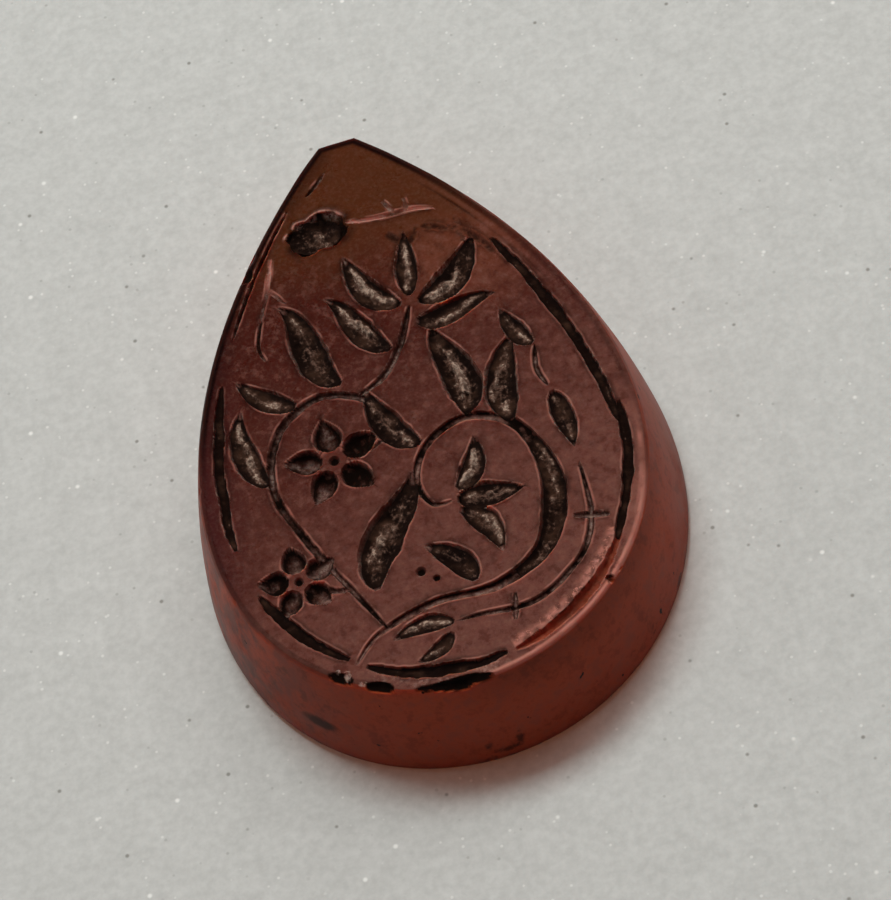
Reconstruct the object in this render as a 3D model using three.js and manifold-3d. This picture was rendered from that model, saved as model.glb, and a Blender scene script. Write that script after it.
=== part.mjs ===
// A loose engraved seal stone: a pear-shaped piece of translucent orange-red chalcedony with a blunted
// point, a flat face cut with a broken border line and a leafy scroll, and a side wall that widens towards
// its flat back. Old dried residue fills the deep cuts and the pit, each deposit a body of its own that lies
// loose in its cut.
// Millimetres, +Z up. The back rests on z = 0, the engraved face looks up, and the point is towards +Y.

import * as THREE from "three";
import { mergeVertices } from "three/addons/utils/BufferGeometryUtils.js";
import Module from "manifold-3d";

// The stone
const FACE_WIDTH = 15;
const FACE_LENGTH = 22.83; // of the whole pear shape, before its point is blunted
const POINT_BLUNTING = 0.55;
const LEAN_OFFSET = 0.12; // the stone is a little fuller on its right side
const STONE_HEIGHT = 4.3;
const BACK_FLARE = 0.8; // how far the back stands out past the face
const WALL_BELLY = 0.08; // how far the side wall bows out of a straight line
const RIM_CHAMFER = 0.1;
const BACK_ROUND = 0.32;

// The cuts
const LEAF_WIDTH = 1.08;
const LEAF_DEPTH = 0.44;
const STEM_WIDTH = 0.3;
const STEM_DEPTH = 0.17;
const BORDER_WIDTH = 0.34;
const BORDER_DEPTH = 0.28;
const BORDER_INSET = 0.8;
const PIT_LENGTH = 2.2;
const PIT_WIDTH = 1.6;
const PIT_DEPTH = 0.55;
const DRILL_DIAMETER = 0.34;
const CHIP_LENGTH = 1.3;
const CHIP_DEPTH = 0.28;
const CUT_OVERRUN = 0.2; // how far a cutter stands up past the face

// The residue lies loose in its cut, this far from the stone
const RESIDUE_CLEARANCE = 0.02;

// Shape shares of the pear outline, of the cuts and of the residue's level under the face
const pointPowerShare = 0.836;
const shoulderShare = 0.056;
const floorShare = 0.4;
const sharpEndShare = 0.8;
const rootSkewShare = 0.75;
const stemEndShare = 0.3;
const residueLevelShare = 0.28; // of its cut's full depth
const stemLevelShare = 0.45; // lower, so that a swelling stem holds residue only where it is full

// How finely the curves are stepped
const OUTLINE_STEPS = 92;
const WIDEST_STEPS = 720;
const WALL_STEPS = 3;
const ROUND_STEPS = 2;
const LEAF_STEPS = 8;
const STEM_STEPS_PER_SPAN = 3;
const BORDER_STEPS = 11;
const SCOOP_DETAIL = 1;

const STONE_COLOUR = 0x5c2c22;
const RESIDUE_COLOUR = 0x241c17;

// Leaves, petals and buds: both ends as shares of the face's half width and half length, how far the line
// between them bows to its left at one and two thirds as shares of its length, and the width as a share of
// LEAF_WIDTH.
const leafShares = {
  lotus_middle: { from: [0.13, -0.41], to: [0.43, -0.43], bowShares: [0, 0], widthShare: 0.95 },
  lotus_upper: { from: [0.14, -0.375], to: [0.27, -0.215], bowShares: [-0.24, -0.14], widthShare: 0.8 },
  lotus_lower: { from: [0.13, -0.445], to: [0.27, -0.62], bowShares: [0.24, 0.14], widthShare: 0.85 },
  scroll_inner_leaf: { from: [0.12, -0.69], to: [-0.06, -0.53], bowShares: [-0.2, -0.12], widthShare: 0.9 },
  scroll_right_leaf: { from: [0.46, -0.2], to: [0.56, 0.1], bowShares: [0.2, 0.12], widthShare: 1.1 },
  scroll_tall_leaf: { from: [0.26, -0.135], to: [0.21, 0.2], bowShares: [-0.22, 0.04], widthShare: 1.25 },
  scroll_left_leaf: { from: [0.04, -0.19], to: [-0.15, 0.05], bowShares: [0.2, 0.1], widthShare: 1 },
  broad_leaf: { from: [-0.3, -0.63], to: [-0.03, -0.27], bowShares: [0.24, -0.1], widthShare: 1.3 },
  outer_left_leaf: { from: [-0.67, -0.19], to: [-0.71, 0.1], bowShares: [0.12, 0.2], widthShare: 0.85 },
  shoulder_leaf: { from: [-0.46, 0.06], to: [-0.71, 0.2], bowShares: [0.16, 0.1], widthShare: 0.8 },
  upper_left_leaf: { from: [-0.24, 0.09], to: [-0.45, 0.42], bowShares: [0.22, -0.16], widthShare: 1.15 },
  riser_left_leaf: { from: [0.02, 0.16], to: [-0.23, 0.4], bowShares: [0.18, -0.1], widthShare: 0.95 },
  riser_right_leaf: { from: [0.15, 0.235], to: [0.53, 0.25], bowShares: [-0.2, 0.1], widthShare: 0.9 },
  tulip_left: { from: [0.11, 0.305], to: [-0.1, 0.53], bowShares: [0.24, 0.12], widthShare: 1 },
  tulip_middle: { from: [0.15, 0.325], to: [0.2, 0.56], bowShares: [0, 0], widthShare: 0.75 },
  tulip_right: { from: [0.18, 0.3], to: [0.5, 0.48], bowShares: [-0.26, -0.14], widthShare: 1.1 },
  vine_bud: { from: [0.655, -0.14], to: [0.69, -0.35], bowShares: [0.04, 0.04], widthShare: 0.75 },
  vine_leaf: { from: [0.64, 0.04], to: [0.53, 0.19], bowShares: [0.16, 0.06], widthShare: 0.7 },
  foot_upper_leaf: { from: [-0.01, -0.8], to: [-0.29, -0.805], bowShares: [-0.18, -0.12], widthShare: 0.65 },
  foot_lower_leaf: { from: [-0.03, -0.83], to: [-0.21, -0.895], bowShares: [0.16, 0.12], widthShare: 0.55 },
};

// Flowers: the centre as shares of the half width and half length, petal ends as shares of LEAF_WIDTH.
const flowerShares = [
  { at: [-0.355, -0.165], petals: 5, innerShare: 0.36, outerShare: 1.6, widthShare: 0.92 },
  { at: [-0.63, -0.53], petals: 5, innerShare: 0.3, outerShare: 1.3, widthShare: 0.82 },
];
const petalTurnShare = 0.06; // of a whole turn

// Stems, tendrils and twigs: points as shares of the half width and half length, and widths as shares of
// STEM_WIDTH. A stem that swells is fullest at a share of its way, by so many widths more, and over a reach
// to either side.
const evenShares = { moreShare: 0, atShare: 0.5, reachShare: 1 };
const stemShares = [
  {
    name: "scroll_stem",
    widthShare: 1.2,
    swell: { moreShare: 1.5, atShare: 0.47, reachShare: 0.13 },
    points: [
      [-0.47, -0.85], [-0.34, -0.77], [-0.08, -0.72], [0.22, -0.72], [0.46, -0.63], [0.56, -0.42],
      [0.47, -0.22], [0.26, -0.145], [0.06, -0.2], [-0.02, -0.31], [0.02, -0.4], [0.11, -0.41],
    ],
  },
  {
    widthShare: 1.1,
    points: [
      [-0.3, -0.76], [-0.4, -0.62], [-0.56, -0.4], [-0.65, -0.2], [-0.57, -0.02], [-0.36, 0.065],
      [-0.15, 0.01], [-0.09, -0.1], [-0.19, -0.17],
    ],
  },
  { widthShare: 0.8, points: [[-0.42, -0.6], [-0.49, -0.59], [-0.57, -0.55]] },
  { widthShare: 1, points: [[-0.18, 0.03], [-0.04, 0.08], [0.06, 0.17], [0.14, 0.29]] },
  {
    widthShare: 0.9,
    points: [
      [0.69, -0.4], [0.69, -0.49], [0.68, -0.58], [0.62, -0.68], [0.5, -0.755], [0.37, -0.8],
      [0.26, -0.81], [0.11, -0.8], [0.01, -0.8],
    ],
  },
  { widthShare: 0.75, points: [[0.65, -0.12], [0.62, -0.05], [0.64, 0.03]] },
  { widthShare: 0.9, points: [[0.6, -0.57], [0.76, -0.6]] },
  { widthShare: 0.75, points: [[0.275, -0.76], [0.245, -0.85]] },
  { widthShare: 0.65, points: [[-0.03, 0.66], [0.1, 0.635], [0.26, 0.63], [0.36, 0.61]] },
  { widthShare: 0.55, points: [[0.14, 0.69], [0.18, 0.635]] },
  { widthShare: 0.55, points: [[0.24, 0.68], [0.24, 0.63]] },
  { widthShare: 0.55, points: [[-0.42, 0.6], [-0.47, 0.49], [-0.54, 0.38]] },
  { widthShare: 0.5, points: [[-0.47, 0.49], [-0.4, 0.42]] },
  { widthShare: 0.55, points: [[-0.53, 0.39], [-0.57, 0.3], [-0.55, 0.24]] },
];

// Drilled dots: the centre as shares of the half width and half length, and the size as a share of
// DRILL_DIAMETER.
const dotShares = [
  { at: [-0.355, -0.165], sizeShare: 1 },
  { at: [-0.63, -0.53], sizeShare: 0.85 },
  { at: [-0.1, -0.61], sizeShare: 0.95 },
  { at: [-0.04, -0.645], sizeShare: 0.8 },
];

// The border line's runs: how far round the outline each starts and ends, clockwise from the point, its
// distance from the rim at its start, middle and end as shares of BORDER_INSET, and its width as a share of
// BORDER_WIDTH. A clean run holds no residue.
const borderShares = [
  { name: "upper_right", from: 0.17, to: 0.3, insetShares: [0.95, 1.25, 1], widthShare: 1.1 },
  { name: "right", from: 0.292, to: 0.372, insetShares: [0.62, 0.68, 0.6], widthShare: 0.8 },
  { from: 0.365, to: 0.47, insetShares: [0.72, 0.52, 0.62], widthShare: 1.4, clean: true },
  { name: "foot", from: 0.474, to: 0.566, insetShares: [0.66, 0.8, 0.9], widthShare: 0.95 },
  { name: "lower_left", from: 0.578, to: 0.655, insetShares: [1, 1.08, 0.95], widthShare: 1 },
  { name: "left", from: 0.688, to: 0.785, insetShares: [0.98, 0.92, 0.65], widthShare: 1 },
  { from: 0.81, to: 0.89, insetShares: [0.6, 0.5, 0.45], widthShare: 0.5, clean: true },
];

// The worn pit near the point, and chips out of the rim, placed round the outline as the border's runs are.
const pitShares = { at: [-0.2, 0.64], turnShare: 0.03, fillShare: 0.55 };
const chipShares = [
  { around: 0.51, lengthShare: 2.1, widthShare: 0.42, depthShare: 1 },
  { around: 0.555, lengthShare: 0.75, widthShare: 0.4, depthShare: 1 },
  { around: 0.583, lengthShare: 0.5, widthShare: 0.7, depthShare: 0.8 },
  { around: 0.846, lengthShare: 0.55, widthShare: 0.5, depthShare: 0.8 },
  { around: 0.43, lengthShare: 0.4, widthShare: 0.35, depthShare: 0.5 },
];

const wasm = await Module();
wasm.setup();

const TURN = 2 * Math.PI;

/** A point of the pear outline, t radians clockwise from its point, before the box is centred. */
function pearPoint(t) {
  const swell = Math.sin(t) * Math.abs(Math.sin(t / 2)) ** pointPowerShare;
  const x = swell * (1 + shoulderShare * Math.cos(t));
  const y = (Math.cos(t) * FACE_LENGTH) / 2;
  return { x, y: Math.min(y, FACE_LENGTH / 2 - POINT_BLUNTING), lean: LEAN_OFFSET * Math.sin(t) ** 2 };
}

const pearReach = Math.max(
  ...Array.from({ length: WIDEST_STEPS }, (_, i) => Math.abs(pearPoint((TURN * i) / WIDEST_STEPS).x)),
);

/** The face outline at t radians clockwise from the point, in millimetres. */
function outlinePoint(t) {
  const { x, y, lean } = pearPoint(t);
  return new THREE.Vector2(((x / pearReach) * FACE_WIDTH) / 2 + lean, y);
}

/** The outward direction of the outline at t. */
function outlineNormal(t) {
  const step = TURN / WIDEST_STEPS;
  const along = outlinePoint(t + step).sub(outlinePoint(t - step));
  return new THREE.Vector2(-along.y, along.x).normalize();
}

// The corners of the outline, counter-clockwise, from one corner of the blunted point round to the other.
const bluntAngle = Math.acos(1 - (2 * POINT_BLUNTING) / FACE_LENGTH);
const outlineCorners = Array.from({ length: OUTLINE_STEPS }, (_, i) =>
  outlinePoint(TURN - bluntAngle - ((TURN - 2 * bluntAngle) * i) / (OUTLINE_STEPS - 1)),
);

/** The outline moved outwards by a distance, with its corners kept sharp. */
function outlineRing(outset) {
  const count = outlineCorners.length;
  return outlineCorners.map((corner, i) => {
    const before = corner.clone().sub(outlineCorners[(i + count - 1) % count]).normalize();
    const after = outlineCorners[(i + 1) % count].clone().sub(corner).normalize();
    const first = new THREE.Vector2(before.y, -before.x);
    const second = new THREE.Vector2(after.y, -after.x);
    const reach = outset / (1 + first.dot(second));
    return corner.clone().addScaledVector(first.add(second), reach);
  });
}

// Everything is drawn about the middle of the back's box, so the origin is under the middle of the stone.
const backBox = new THREE.Box2().setFromPoints(outlineRing(BACK_FLARE));
const backMiddle = backBox.getCenter(new THREE.Vector2());

/** A place on the face from shares of its half width and half length. */
function onFace([xShare, yShare]) {
  return new THREE.Vector2((xShare * FACE_WIDTH) / 2, (yShare * FACE_LENGTH) / 2).sub(backMiddle);
}

/** A closed body through matching sections, each a convex loop, with its faces turned outwards. */
function bodyThrough(sections) {
  const size = sections[0].length;
  const last = (sections.length - 1) * size;
  const index = [];
  for (let s = 0; s + 1 < sections.length; s += 1)
    for (let i = 0; i < size; i += 1) {
      const [a, b] = [s * size + i, s * size + ((i + 1) % size)];
      index.push(a, b, b + size, a, b + size, a + size);
    }
  for (let i = 1; i + 1 < size; i += 1) {
    index.push(0, i + 1, i);
    index.push(last, last + i, last + i + 1);
  }
  const points = sections.flat();
  let volume = 0;
  for (let i = 0; i < index.length; i += 3)
    volume += points[index[i]].dot(points[index[i + 1]].clone().cross(points[index[i + 2]]));
  if (volume < 0) index.reverse();
  return new THREE.BufferGeometry().setFromPoints(points).setIndex(index);
}

/** The solid of a closed geometry. */
function solidFrom(geometry) {
  const bare = geometry.clone();
  for (const name of ["normal", "uv"]) bare.deleteAttribute(name);
  const merged = mergeVertices(bare);
  return new wasm.Manifold(
    new wasm.Mesh({
      numProp: 3,
      vertProperties: new Float32Array(merged.attributes.position.array),
      triVerts: new Uint32Array(merged.index.array),
    }),
  );
}

/** The geometry of a solid. */
function geometryFrom(solid) {
  const { vertProperties, triVerts } = solid.getMesh();
  const geometry = new THREE.BufferGeometry();
  geometry.setAttribute("position", new THREE.BufferAttribute(new Float32Array(vertProperties), 3));
  geometry.setIndex(new THREE.BufferAttribute(new Uint32Array(triVerts), 1));
  geometry.computeVertexNormals();
  return geometry;
}

/** The stone before it is engraved: a rounded back edge, a flared wall that bows, and a chamfered rim. */
function blankStone() {
  const levels = [];
  for (let i = 0; i <= ROUND_STEPS; i += 1) {
    const angle = (Math.PI / 2) * (i / ROUND_STEPS);
    const inset = BACK_ROUND * (1 - Math.sin(angle));
    levels.push([BACK_FLARE - inset, BACK_ROUND * (1 - Math.cos(angle))]);
  }
  const wallHeight = STONE_HEIGHT - RIM_CHAMFER - BACK_ROUND;
  for (let i = 1; i <= WALL_STEPS; i += 1) {
    const up = i / WALL_STEPS;
    const bow = WALL_BELLY * Math.sin(Math.PI * up);
    levels.push([BACK_FLARE * (1 - up) + bow, BACK_ROUND + wallHeight * up]);
  }
  levels.push([-RIM_CHAMFER, STONE_HEIGHT]);
  return solidFrom(
    bodyThrough(
      levels.map(([outset, z]) =>
        outlineRing(outset).map((p) => new THREE.Vector3(p.x - backMiddle.x, p.y - backMiddle.y, z)),
      ),
    ),
  );
}

/** The stations of one cut: points, the unit vector to their left, and the half width and depth at each. */
function cutStations(points, width, depth, profile) {
  return points.map((point, i) => {
    const before = points[Math.max(i - 1, 0)];
    const after = points[Math.min(i + 1, points.length - 1)];
    const along = after.clone().sub(before).normalize();
    const left = new THREE.Vector2(-along.y, along.x);
    const full = profile(i / (points.length - 1));
    return { point, left, half: (width / 2) * full, depth: depth * full };
  });
}

/** The four corners of a cut's section between two heights, drawn in from its walls by a clearance. */
function sectionAt({ point, left, half, depth }, low, high, clearance, slope) {
  const floor = half * floorShare;
  const reach = (z) => Math.max(floor + slope * (z - (STONE_HEIGHT - depth)) - clearance, 0);
  const corner = (side, z) => {
    const p = point.clone().addScaledVector(left, side);
    return new THREE.Vector3(p.x, p.y, z);
  };
  const lows = [corner(-reach(low), low), corner(reach(low), low)];
  return [...lows, corner(reach(high), high), corner(-reach(high), high)];
}

/** The cutter of one engraved stroke, open to the air above the face, where both its ends run out. */
function strokeCutter(stations, slope) {
  const top = STONE_HEIGHT + CUT_OVERRUN;
  const runOut = { half: CUT_OVERRUN / 4, depth: -CUT_OVERRUN / 4 };
  const sections = stations.map((station, i) => {
    const atEnd = i === 0 || i === stations.length - 1;
    const cut = atEnd ? { ...station, ...runOut } : station;
    return sectionAt(cut, STONE_HEIGHT - cut.depth, top, 0, slope);
  });
  return solidFrom(bodyThrough(sections));
}

/** The residue in one engraved stroke, clear of the stone all round, where the cut is deep enough for it. */
function strokeResidue(stations, slope, levelShare = residueLevelShare) {
  const recess = levelShare * Math.max(...stations.map((s) => s.depth));
  const sections = stations
    .filter((s) => s.depth > recess + 2 * RESIDUE_CLEARANCE)
    .map((s) => {
      const floor = STONE_HEIGHT - s.depth + RESIDUE_CLEARANCE;
      return sectionAt(s, floor, STONE_HEIGHT - recess, 2 * RESIDUE_CLEARANCE, slope);
    });
  return bodyThrough(sections);
}

/** How wide a leaf is along its length: full near its root, drawn out to a fine tip. */
function leafProfile(u) {
  return Math.sin(Math.PI * u ** rootSkewShare) ** sharpEndShare;
}

/** How wide a stem is along its length: even, with quick ends, and fuller where it swells. */
function stemProfile({ moreShare, atShare, reachShare } = evenShares) {
  return (u) => {
    const swell = moreShare * Math.exp(-(((u - atShare) / reachShare) ** 2));
    return Math.max(Math.sin(Math.PI * u), 0) ** stemEndShare * (1 + swell);
  };
}

/** The sideways run of a cut's wall for each millimetre of its height. */
function wallSlope(width, depth) {
  return ((width / 2) * (1 - floorShare)) / depth;
}

/** The line of one leaf. */
function leafLine({ from, to, bowShares }) {
  const start = onFace(from);
  const end = onFace(to);
  const chord = end.clone().sub(start);
  const left = new THREE.Vector2(-chord.y, chord.x);
  const curve = new THREE.CubicBezierCurve(
    start,
    start.clone().addScaledVector(chord, 1 / 3).addScaledVector(left, bowShares[0]),
    start.clone().addScaledVector(chord, 2 / 3).addScaledVector(left, bowShares[1]),
    end,
  );
  return curve.getPoints(LEAF_STEPS);
}

/** The line of one petal of a flower. */
function petalLine({ at, petals, innerShare, outerShare }, petal) {
  const angle = TURN * (petal / petals + petalTurnShare);
  const along = new THREE.Vector2(Math.cos(angle), Math.sin(angle));
  const reach = (share) => onFace(at).addScaledVector(along, share * LEAF_WIDTH);
  return new THREE.LineCurve(reach(innerShare), reach(outerShare)).getPoints(LEAF_STEPS);
}

/** The line of one stem. */
function stemLine({ points }) {
  const places = points.map(onFace);
  return new THREE.SplineCurve(places).getSpacedPoints((places.length - 1) * STEM_STEPS_PER_SPAN);
}

/** The line of one run of the border, a little way in from the rim. */
function borderLine({ from, to, insetShares: [start, middle, end] }) {
  return Array.from({ length: BORDER_STEPS + 1 }, (_, i) => {
    const u = i / BORDER_STEPS;
    const share = start * (1 - u) ** 2 + (4 * middle - start - end) * u * (1 - u) + end * u ** 2;
    const t = TURN * (from + (to - from) * u);
    return outlinePoint(t).addScaledVector(outlineNormal(t), -share * BORDER_INSET).sub(backMiddle);
  });
}

/** Half of a faceted ball, stretched to a length, width and depth, for pits, chips and drilled dots. */
function scoop(point, z, length, width, depth, turn) {
  const ball = new THREE.IcosahedronGeometry(1, SCOOP_DETAIL);
  ball.scale(length / 2, width / 2, depth);
  ball.rotateZ(turn);
  ball.translate(point.x, point.y, z);
  return ball;
}

/** A flat-topped block that holds everything under a level. */
function blockUnder(level) {
  const block = new THREE.BoxGeometry(2 * FACE_WIDTH, 2 * FACE_LENGTH, STONE_HEIGHT);
  block.translate(0, 0, level - STONE_HEIGHT / 2);
  return block;
}

const leafSlope = wallSlope(LEAF_WIDTH, LEAF_DEPTH);
const stemSlope = wallSlope(STEM_WIDTH, STEM_DEPTH);
const borderSlope = wallSlope(BORDER_WIDTH, BORDER_DEPTH);

const cutters = [];
const deposits = {};

for (const [name, leaf] of Object.entries(leafShares)) {
  const [width, depth] = [LEAF_WIDTH * leaf.widthShare, LEAF_DEPTH * leaf.widthShare];
  const stations = cutStations(leafLine(leaf), width, depth, leafProfile);
  cutters.push(strokeCutter(stations, leafSlope));
  deposits[name] = strokeResidue(stations, leafSlope);
}

for (const flower of flowerShares) {
  const [width, depth] = [LEAF_WIDTH * flower.widthShare, LEAF_DEPTH * flower.widthShare];
  for (let petal = 0; petal < flower.petals; petal += 1) {
    const stations = cutStations(petalLine(flower, petal), width, depth, leafProfile);
    cutters.push(strokeCutter(stations, leafSlope));
  }
}

for (const stem of stemShares) {
  const [width, depth] = [STEM_WIDTH * stem.widthShare, STEM_DEPTH * stem.widthShare];
  const stations = cutStations(stemLine(stem), width, depth, stemProfile(stem.swell));
  cutters.push(strokeCutter(stations, stemSlope));
  if (stem.swell) deposits[stem.name] = strokeResidue(stations, stemSlope, stemLevelShare);
}

for (const run of borderShares) {
  const width = BORDER_WIDTH * run.widthShare;
  const stations = cutStations(borderLine(run), width, BORDER_DEPTH, stemProfile());
  const slope = borderSlope * run.widthShare;
  cutters.push(strokeCutter(stations, slope));
  if (!run.clean) deposits[`border_${run.name}`] = strokeResidue(stations, slope);
}

for (const { at, sizeShare } of dotShares) {
  const diameter = DRILL_DIAMETER * sizeShare;
  cutters.push(solidFrom(scoop(onFace(at), STONE_HEIGHT, diameter, diameter, diameter / 2, 0)));
}

for (const { around, lengthShare, widthShare, depthShare } of chipShares) {
  const t = TURN * around;
  const normal = outlineNormal(t);
  const edge = outlinePoint(t).sub(backMiddle);
  const turn = Math.atan2(normal.x, -normal.y);
  const [long, wide] = [CHIP_LENGTH * lengthShare, CHIP_LENGTH * widthShare];
  cutters.push(solidFrom(scoop(edge, STONE_HEIGHT, long, wide, CHIP_DEPTH * depthShare, turn)));
}

const pitPoint = onFace(pitShares.at);
const pitTurn = TURN * pitShares.turnShare;
const pit = solidFrom(scoop(pitPoint, STONE_HEIGHT, PIT_LENGTH, PIT_WIDTH, PIT_DEPTH, pitTurn));
cutters.push(pit);
const pitFill = scoop(
  pitPoint,
  STONE_HEIGHT,
  PIT_LENGTH - 4 * RESIDUE_CLEARANCE,
  PIT_WIDTH - 4 * RESIDUE_CLEARANCE,
  PIT_DEPTH - 2 * RESIDUE_CLEARANCE,
  pitTurn,
);
const fillLevel = STONE_HEIGHT - PIT_DEPTH * (1 - pitShares.fillShare);
deposits.pit = geometryFrom(solidFrom(pitFill).intersect(solidFrom(blockUnder(fillLevel))));

const stoneSolid = cutters.reduce((stone, cutter) => stone.subtract(cutter), blankStone());

const stoneMaterial = new THREE.MeshStandardMaterial({ color: STONE_COLOUR, roughness: 0.35 });
const residueMaterial = new THREE.MeshStandardMaterial({ color: RESIDUE_COLOUR, roughness: 0.95 });
stoneMaterial.metalness = 0;
residueMaterial.metalness = 0;

const seal = new THREE.Group();
const stone = new THREE.Mesh(geometryFrom(stoneSolid), stoneMaterial);
stone.name = "stone";
seal.add(stone);

for (const [name, geometry] of Object.entries(deposits)) {
  const deposit = new THREE.Mesh(geometry, residueMaterial);
  deposit.name = `residue_${name}`;
  seal.add(deposit);
}

export default seal;
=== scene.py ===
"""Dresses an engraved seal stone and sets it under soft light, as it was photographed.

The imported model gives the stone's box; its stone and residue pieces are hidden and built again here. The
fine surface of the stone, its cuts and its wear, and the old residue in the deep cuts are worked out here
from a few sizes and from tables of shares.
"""
import logging
import math
from dataclasses import dataclass, field, fields
from enum import Enum

import bmesh
import bpy
import numpy as np
from mathutils import Matrix, Vector
from mathutils.geometry import delaunay_2d_cdt


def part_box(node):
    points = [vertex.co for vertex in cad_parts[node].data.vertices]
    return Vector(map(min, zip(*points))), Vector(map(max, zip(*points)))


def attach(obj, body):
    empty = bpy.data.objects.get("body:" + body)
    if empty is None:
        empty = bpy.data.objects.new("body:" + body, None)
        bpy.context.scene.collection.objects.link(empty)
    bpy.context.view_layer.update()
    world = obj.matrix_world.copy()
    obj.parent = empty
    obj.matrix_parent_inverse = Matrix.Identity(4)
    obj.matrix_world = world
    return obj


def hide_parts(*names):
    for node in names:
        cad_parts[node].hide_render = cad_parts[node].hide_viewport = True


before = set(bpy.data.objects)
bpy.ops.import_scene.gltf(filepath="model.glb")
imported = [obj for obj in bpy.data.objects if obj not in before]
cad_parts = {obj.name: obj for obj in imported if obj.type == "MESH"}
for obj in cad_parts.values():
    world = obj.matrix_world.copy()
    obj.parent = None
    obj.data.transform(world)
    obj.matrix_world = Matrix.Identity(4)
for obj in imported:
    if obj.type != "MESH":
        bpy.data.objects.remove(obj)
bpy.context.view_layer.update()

MM = 0.001
TURN = 2 * math.pi
ROOT = "root"
LOG = logging.getLogger("seal_stone")

Share = tuple[float, float]
Triple = tuple[float, float, float]
Colour = tuple[float, float, float, float]
Array = np.ndarray
Socket = bpy.types.NodeSocket
Number = Socket | float


class Fill(Enum):
    """What lies in a cut."""

    RESIDUE = "residue"
    STAINED = "stained"
    CLEAN = "clean"
    BARE = "bare"
    WORN = "worn"


class Section(Enum):
    """The shape of a cut across its line: the powers of its wall's curve, and how ragged its edges are."""

    GOUGE = (2.6, 0.72, 0.075)
    GROOVE = (3.2, 0.8, 0.2)
    SCRATCH = (1.7, 1.0, 0.14)

    def __init__(self, power: float, bend: float, ragged: float) -> None:
        """Keeps the shape's numbers by name.

        Args:
            power: How flat the floor is; a higher power makes it flatter.
            bend: How steeply the wall meets the face; a lower power makes it steeper.
            ragged: How far the edges wander, as a share of the half width.
        """
        self.power = power
        self.bend = bend
        self.ragged = ragged


def ease(start: float, stop: float, value: Array) -> Array:
    """Rises smoothly from 0 at start to 1 at stop."""
    share = np.clip((value - start) / (stop - start), 0.0, 1.0)
    return share * share * (3.0 - 2.0 * share)


@dataclass(frozen=True)
class Ramp:
    """A smooth change from 0 at one value to 1 at another, which lies below it for a fall."""

    start: float
    stop: float

    def at(self, value: Array) -> Array:
        """The share that is reached at these values."""
        return ease(self.start, self.stop, value)


@dataclass(frozen=True)
class Band:
    """A smooth rise from 0 to 1 followed by a smooth fall, each from one value to another."""

    rise: Share
    fall: Share

    @classmethod
    def evenly(cls, start: float, stop: float, fade: float = 0.03) -> "Band":
        """A band between two values that fades over the same short way at both."""
        return cls((start - fade, start + fade), (stop + fade, stop - fade))

    def at(self, value: Array) -> Array:
        """The share that is reached at these values."""
        return ease(*self.rise, value) * ease(*self.fall, value)


@dataclass(frozen=True)
class Patchy:
    """How strong a mark is: its usual strength, how far fine and slow noise swing it, and its limits."""

    usual: float
    fine: float = 0.0
    slow: float = 0.0
    least: float = 0.0
    most: float = 1.0

    def at(self, fine: Array, slow: Array | float = 0.0) -> Array:
        """The strength where the fine and the slow noise have these values."""
        return np.clip(self.usual + self.fine * fine + self.slow * slow, self.least, self.most)


class Grain:
    """Seeded smooth noise in space, between about -1 and 1."""

    SIDE = 32
    LAYER_SHIFT = 7.3

    def __init__(self, seed: int) -> None:
        """Fills the lattice."""
        self.lattice = np.random.default_rng(seed).uniform(-1.0, 1.0, (self.SIDE,) * 3)

    def at(self, places: Array, per_mm: float, octaves: int = 1) -> Array:
        """Noise at places in the plane or in space.

        Args:
            places: One row of millimetres for each place, with one to three columns.
            per_mm: How many lattice cells there are in a millimetre.
            octaves: How many layers are added, each twice as fine and half as strong.

        Returns:
            One value for each place.
        """
        columns = np.zeros((len(places), 3))
        columns[:, : places.shape[1]] = places
        total = np.zeros(len(places))
        for layer in range(octaves):
            total += self._cells(columns * per_mm * 2**layer + self.LAYER_SHIFT * layer) * 0.5**layer
        return total

    def _cells(self, spots: Array) -> Array:
        """Blends the eight lattice corners round each spot, which is measured in cells."""
        whole = np.floor(spots).astype(int)
        part = spots - whole
        part = part * part * (3.0 - 2.0 * part)
        total = np.zeros(len(spots))
        for corner in range(8):
            step = np.array([corner & 1, corner >> 1 & 1, corner >> 2 & 1])
            weight = np.prod(np.where(step, part, 1.0 - part), axis=1)
            cell = (whole + step) % self.SIDE
            total += weight * self.lattice[cell[:, 0], cell[:, 1], cell[:, 2]]
        return total


@dataclass(frozen=True)
class StoneSizes:
    """The stone's sizes in millimetres, and the shares that shape its pear outline."""

    back_width: float
    back_length: float
    height: float
    flare: float = 0.8
    belly: float = 0.08
    blunting: float = 0.55
    lean: float = 0.12
    rim_round: float = 0.11
    back_round: float = 0.32
    point_power: float = 0.836
    shoulder: float = 0.056

    @classmethod
    def from_frame(cls) -> "StoneSizes":
        """Reads the stone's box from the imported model.

        Returns:
            The sizes, with the box's own width, length and height.
        """
        low, high = (np.array(corner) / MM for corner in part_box("stone"))
        width, length, height = high - low
        return cls(back_width=width, back_length=length, height=height)

    @property
    def face_width(self) -> float:
        """The width of the engraved face."""
        return self.back_width - 2 * self.flare

    @property
    def face_length(self) -> float:
        """The length of the face's pear shape before its point is blunted."""
        return self.back_length - 2 * self.flare + self.blunting


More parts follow.
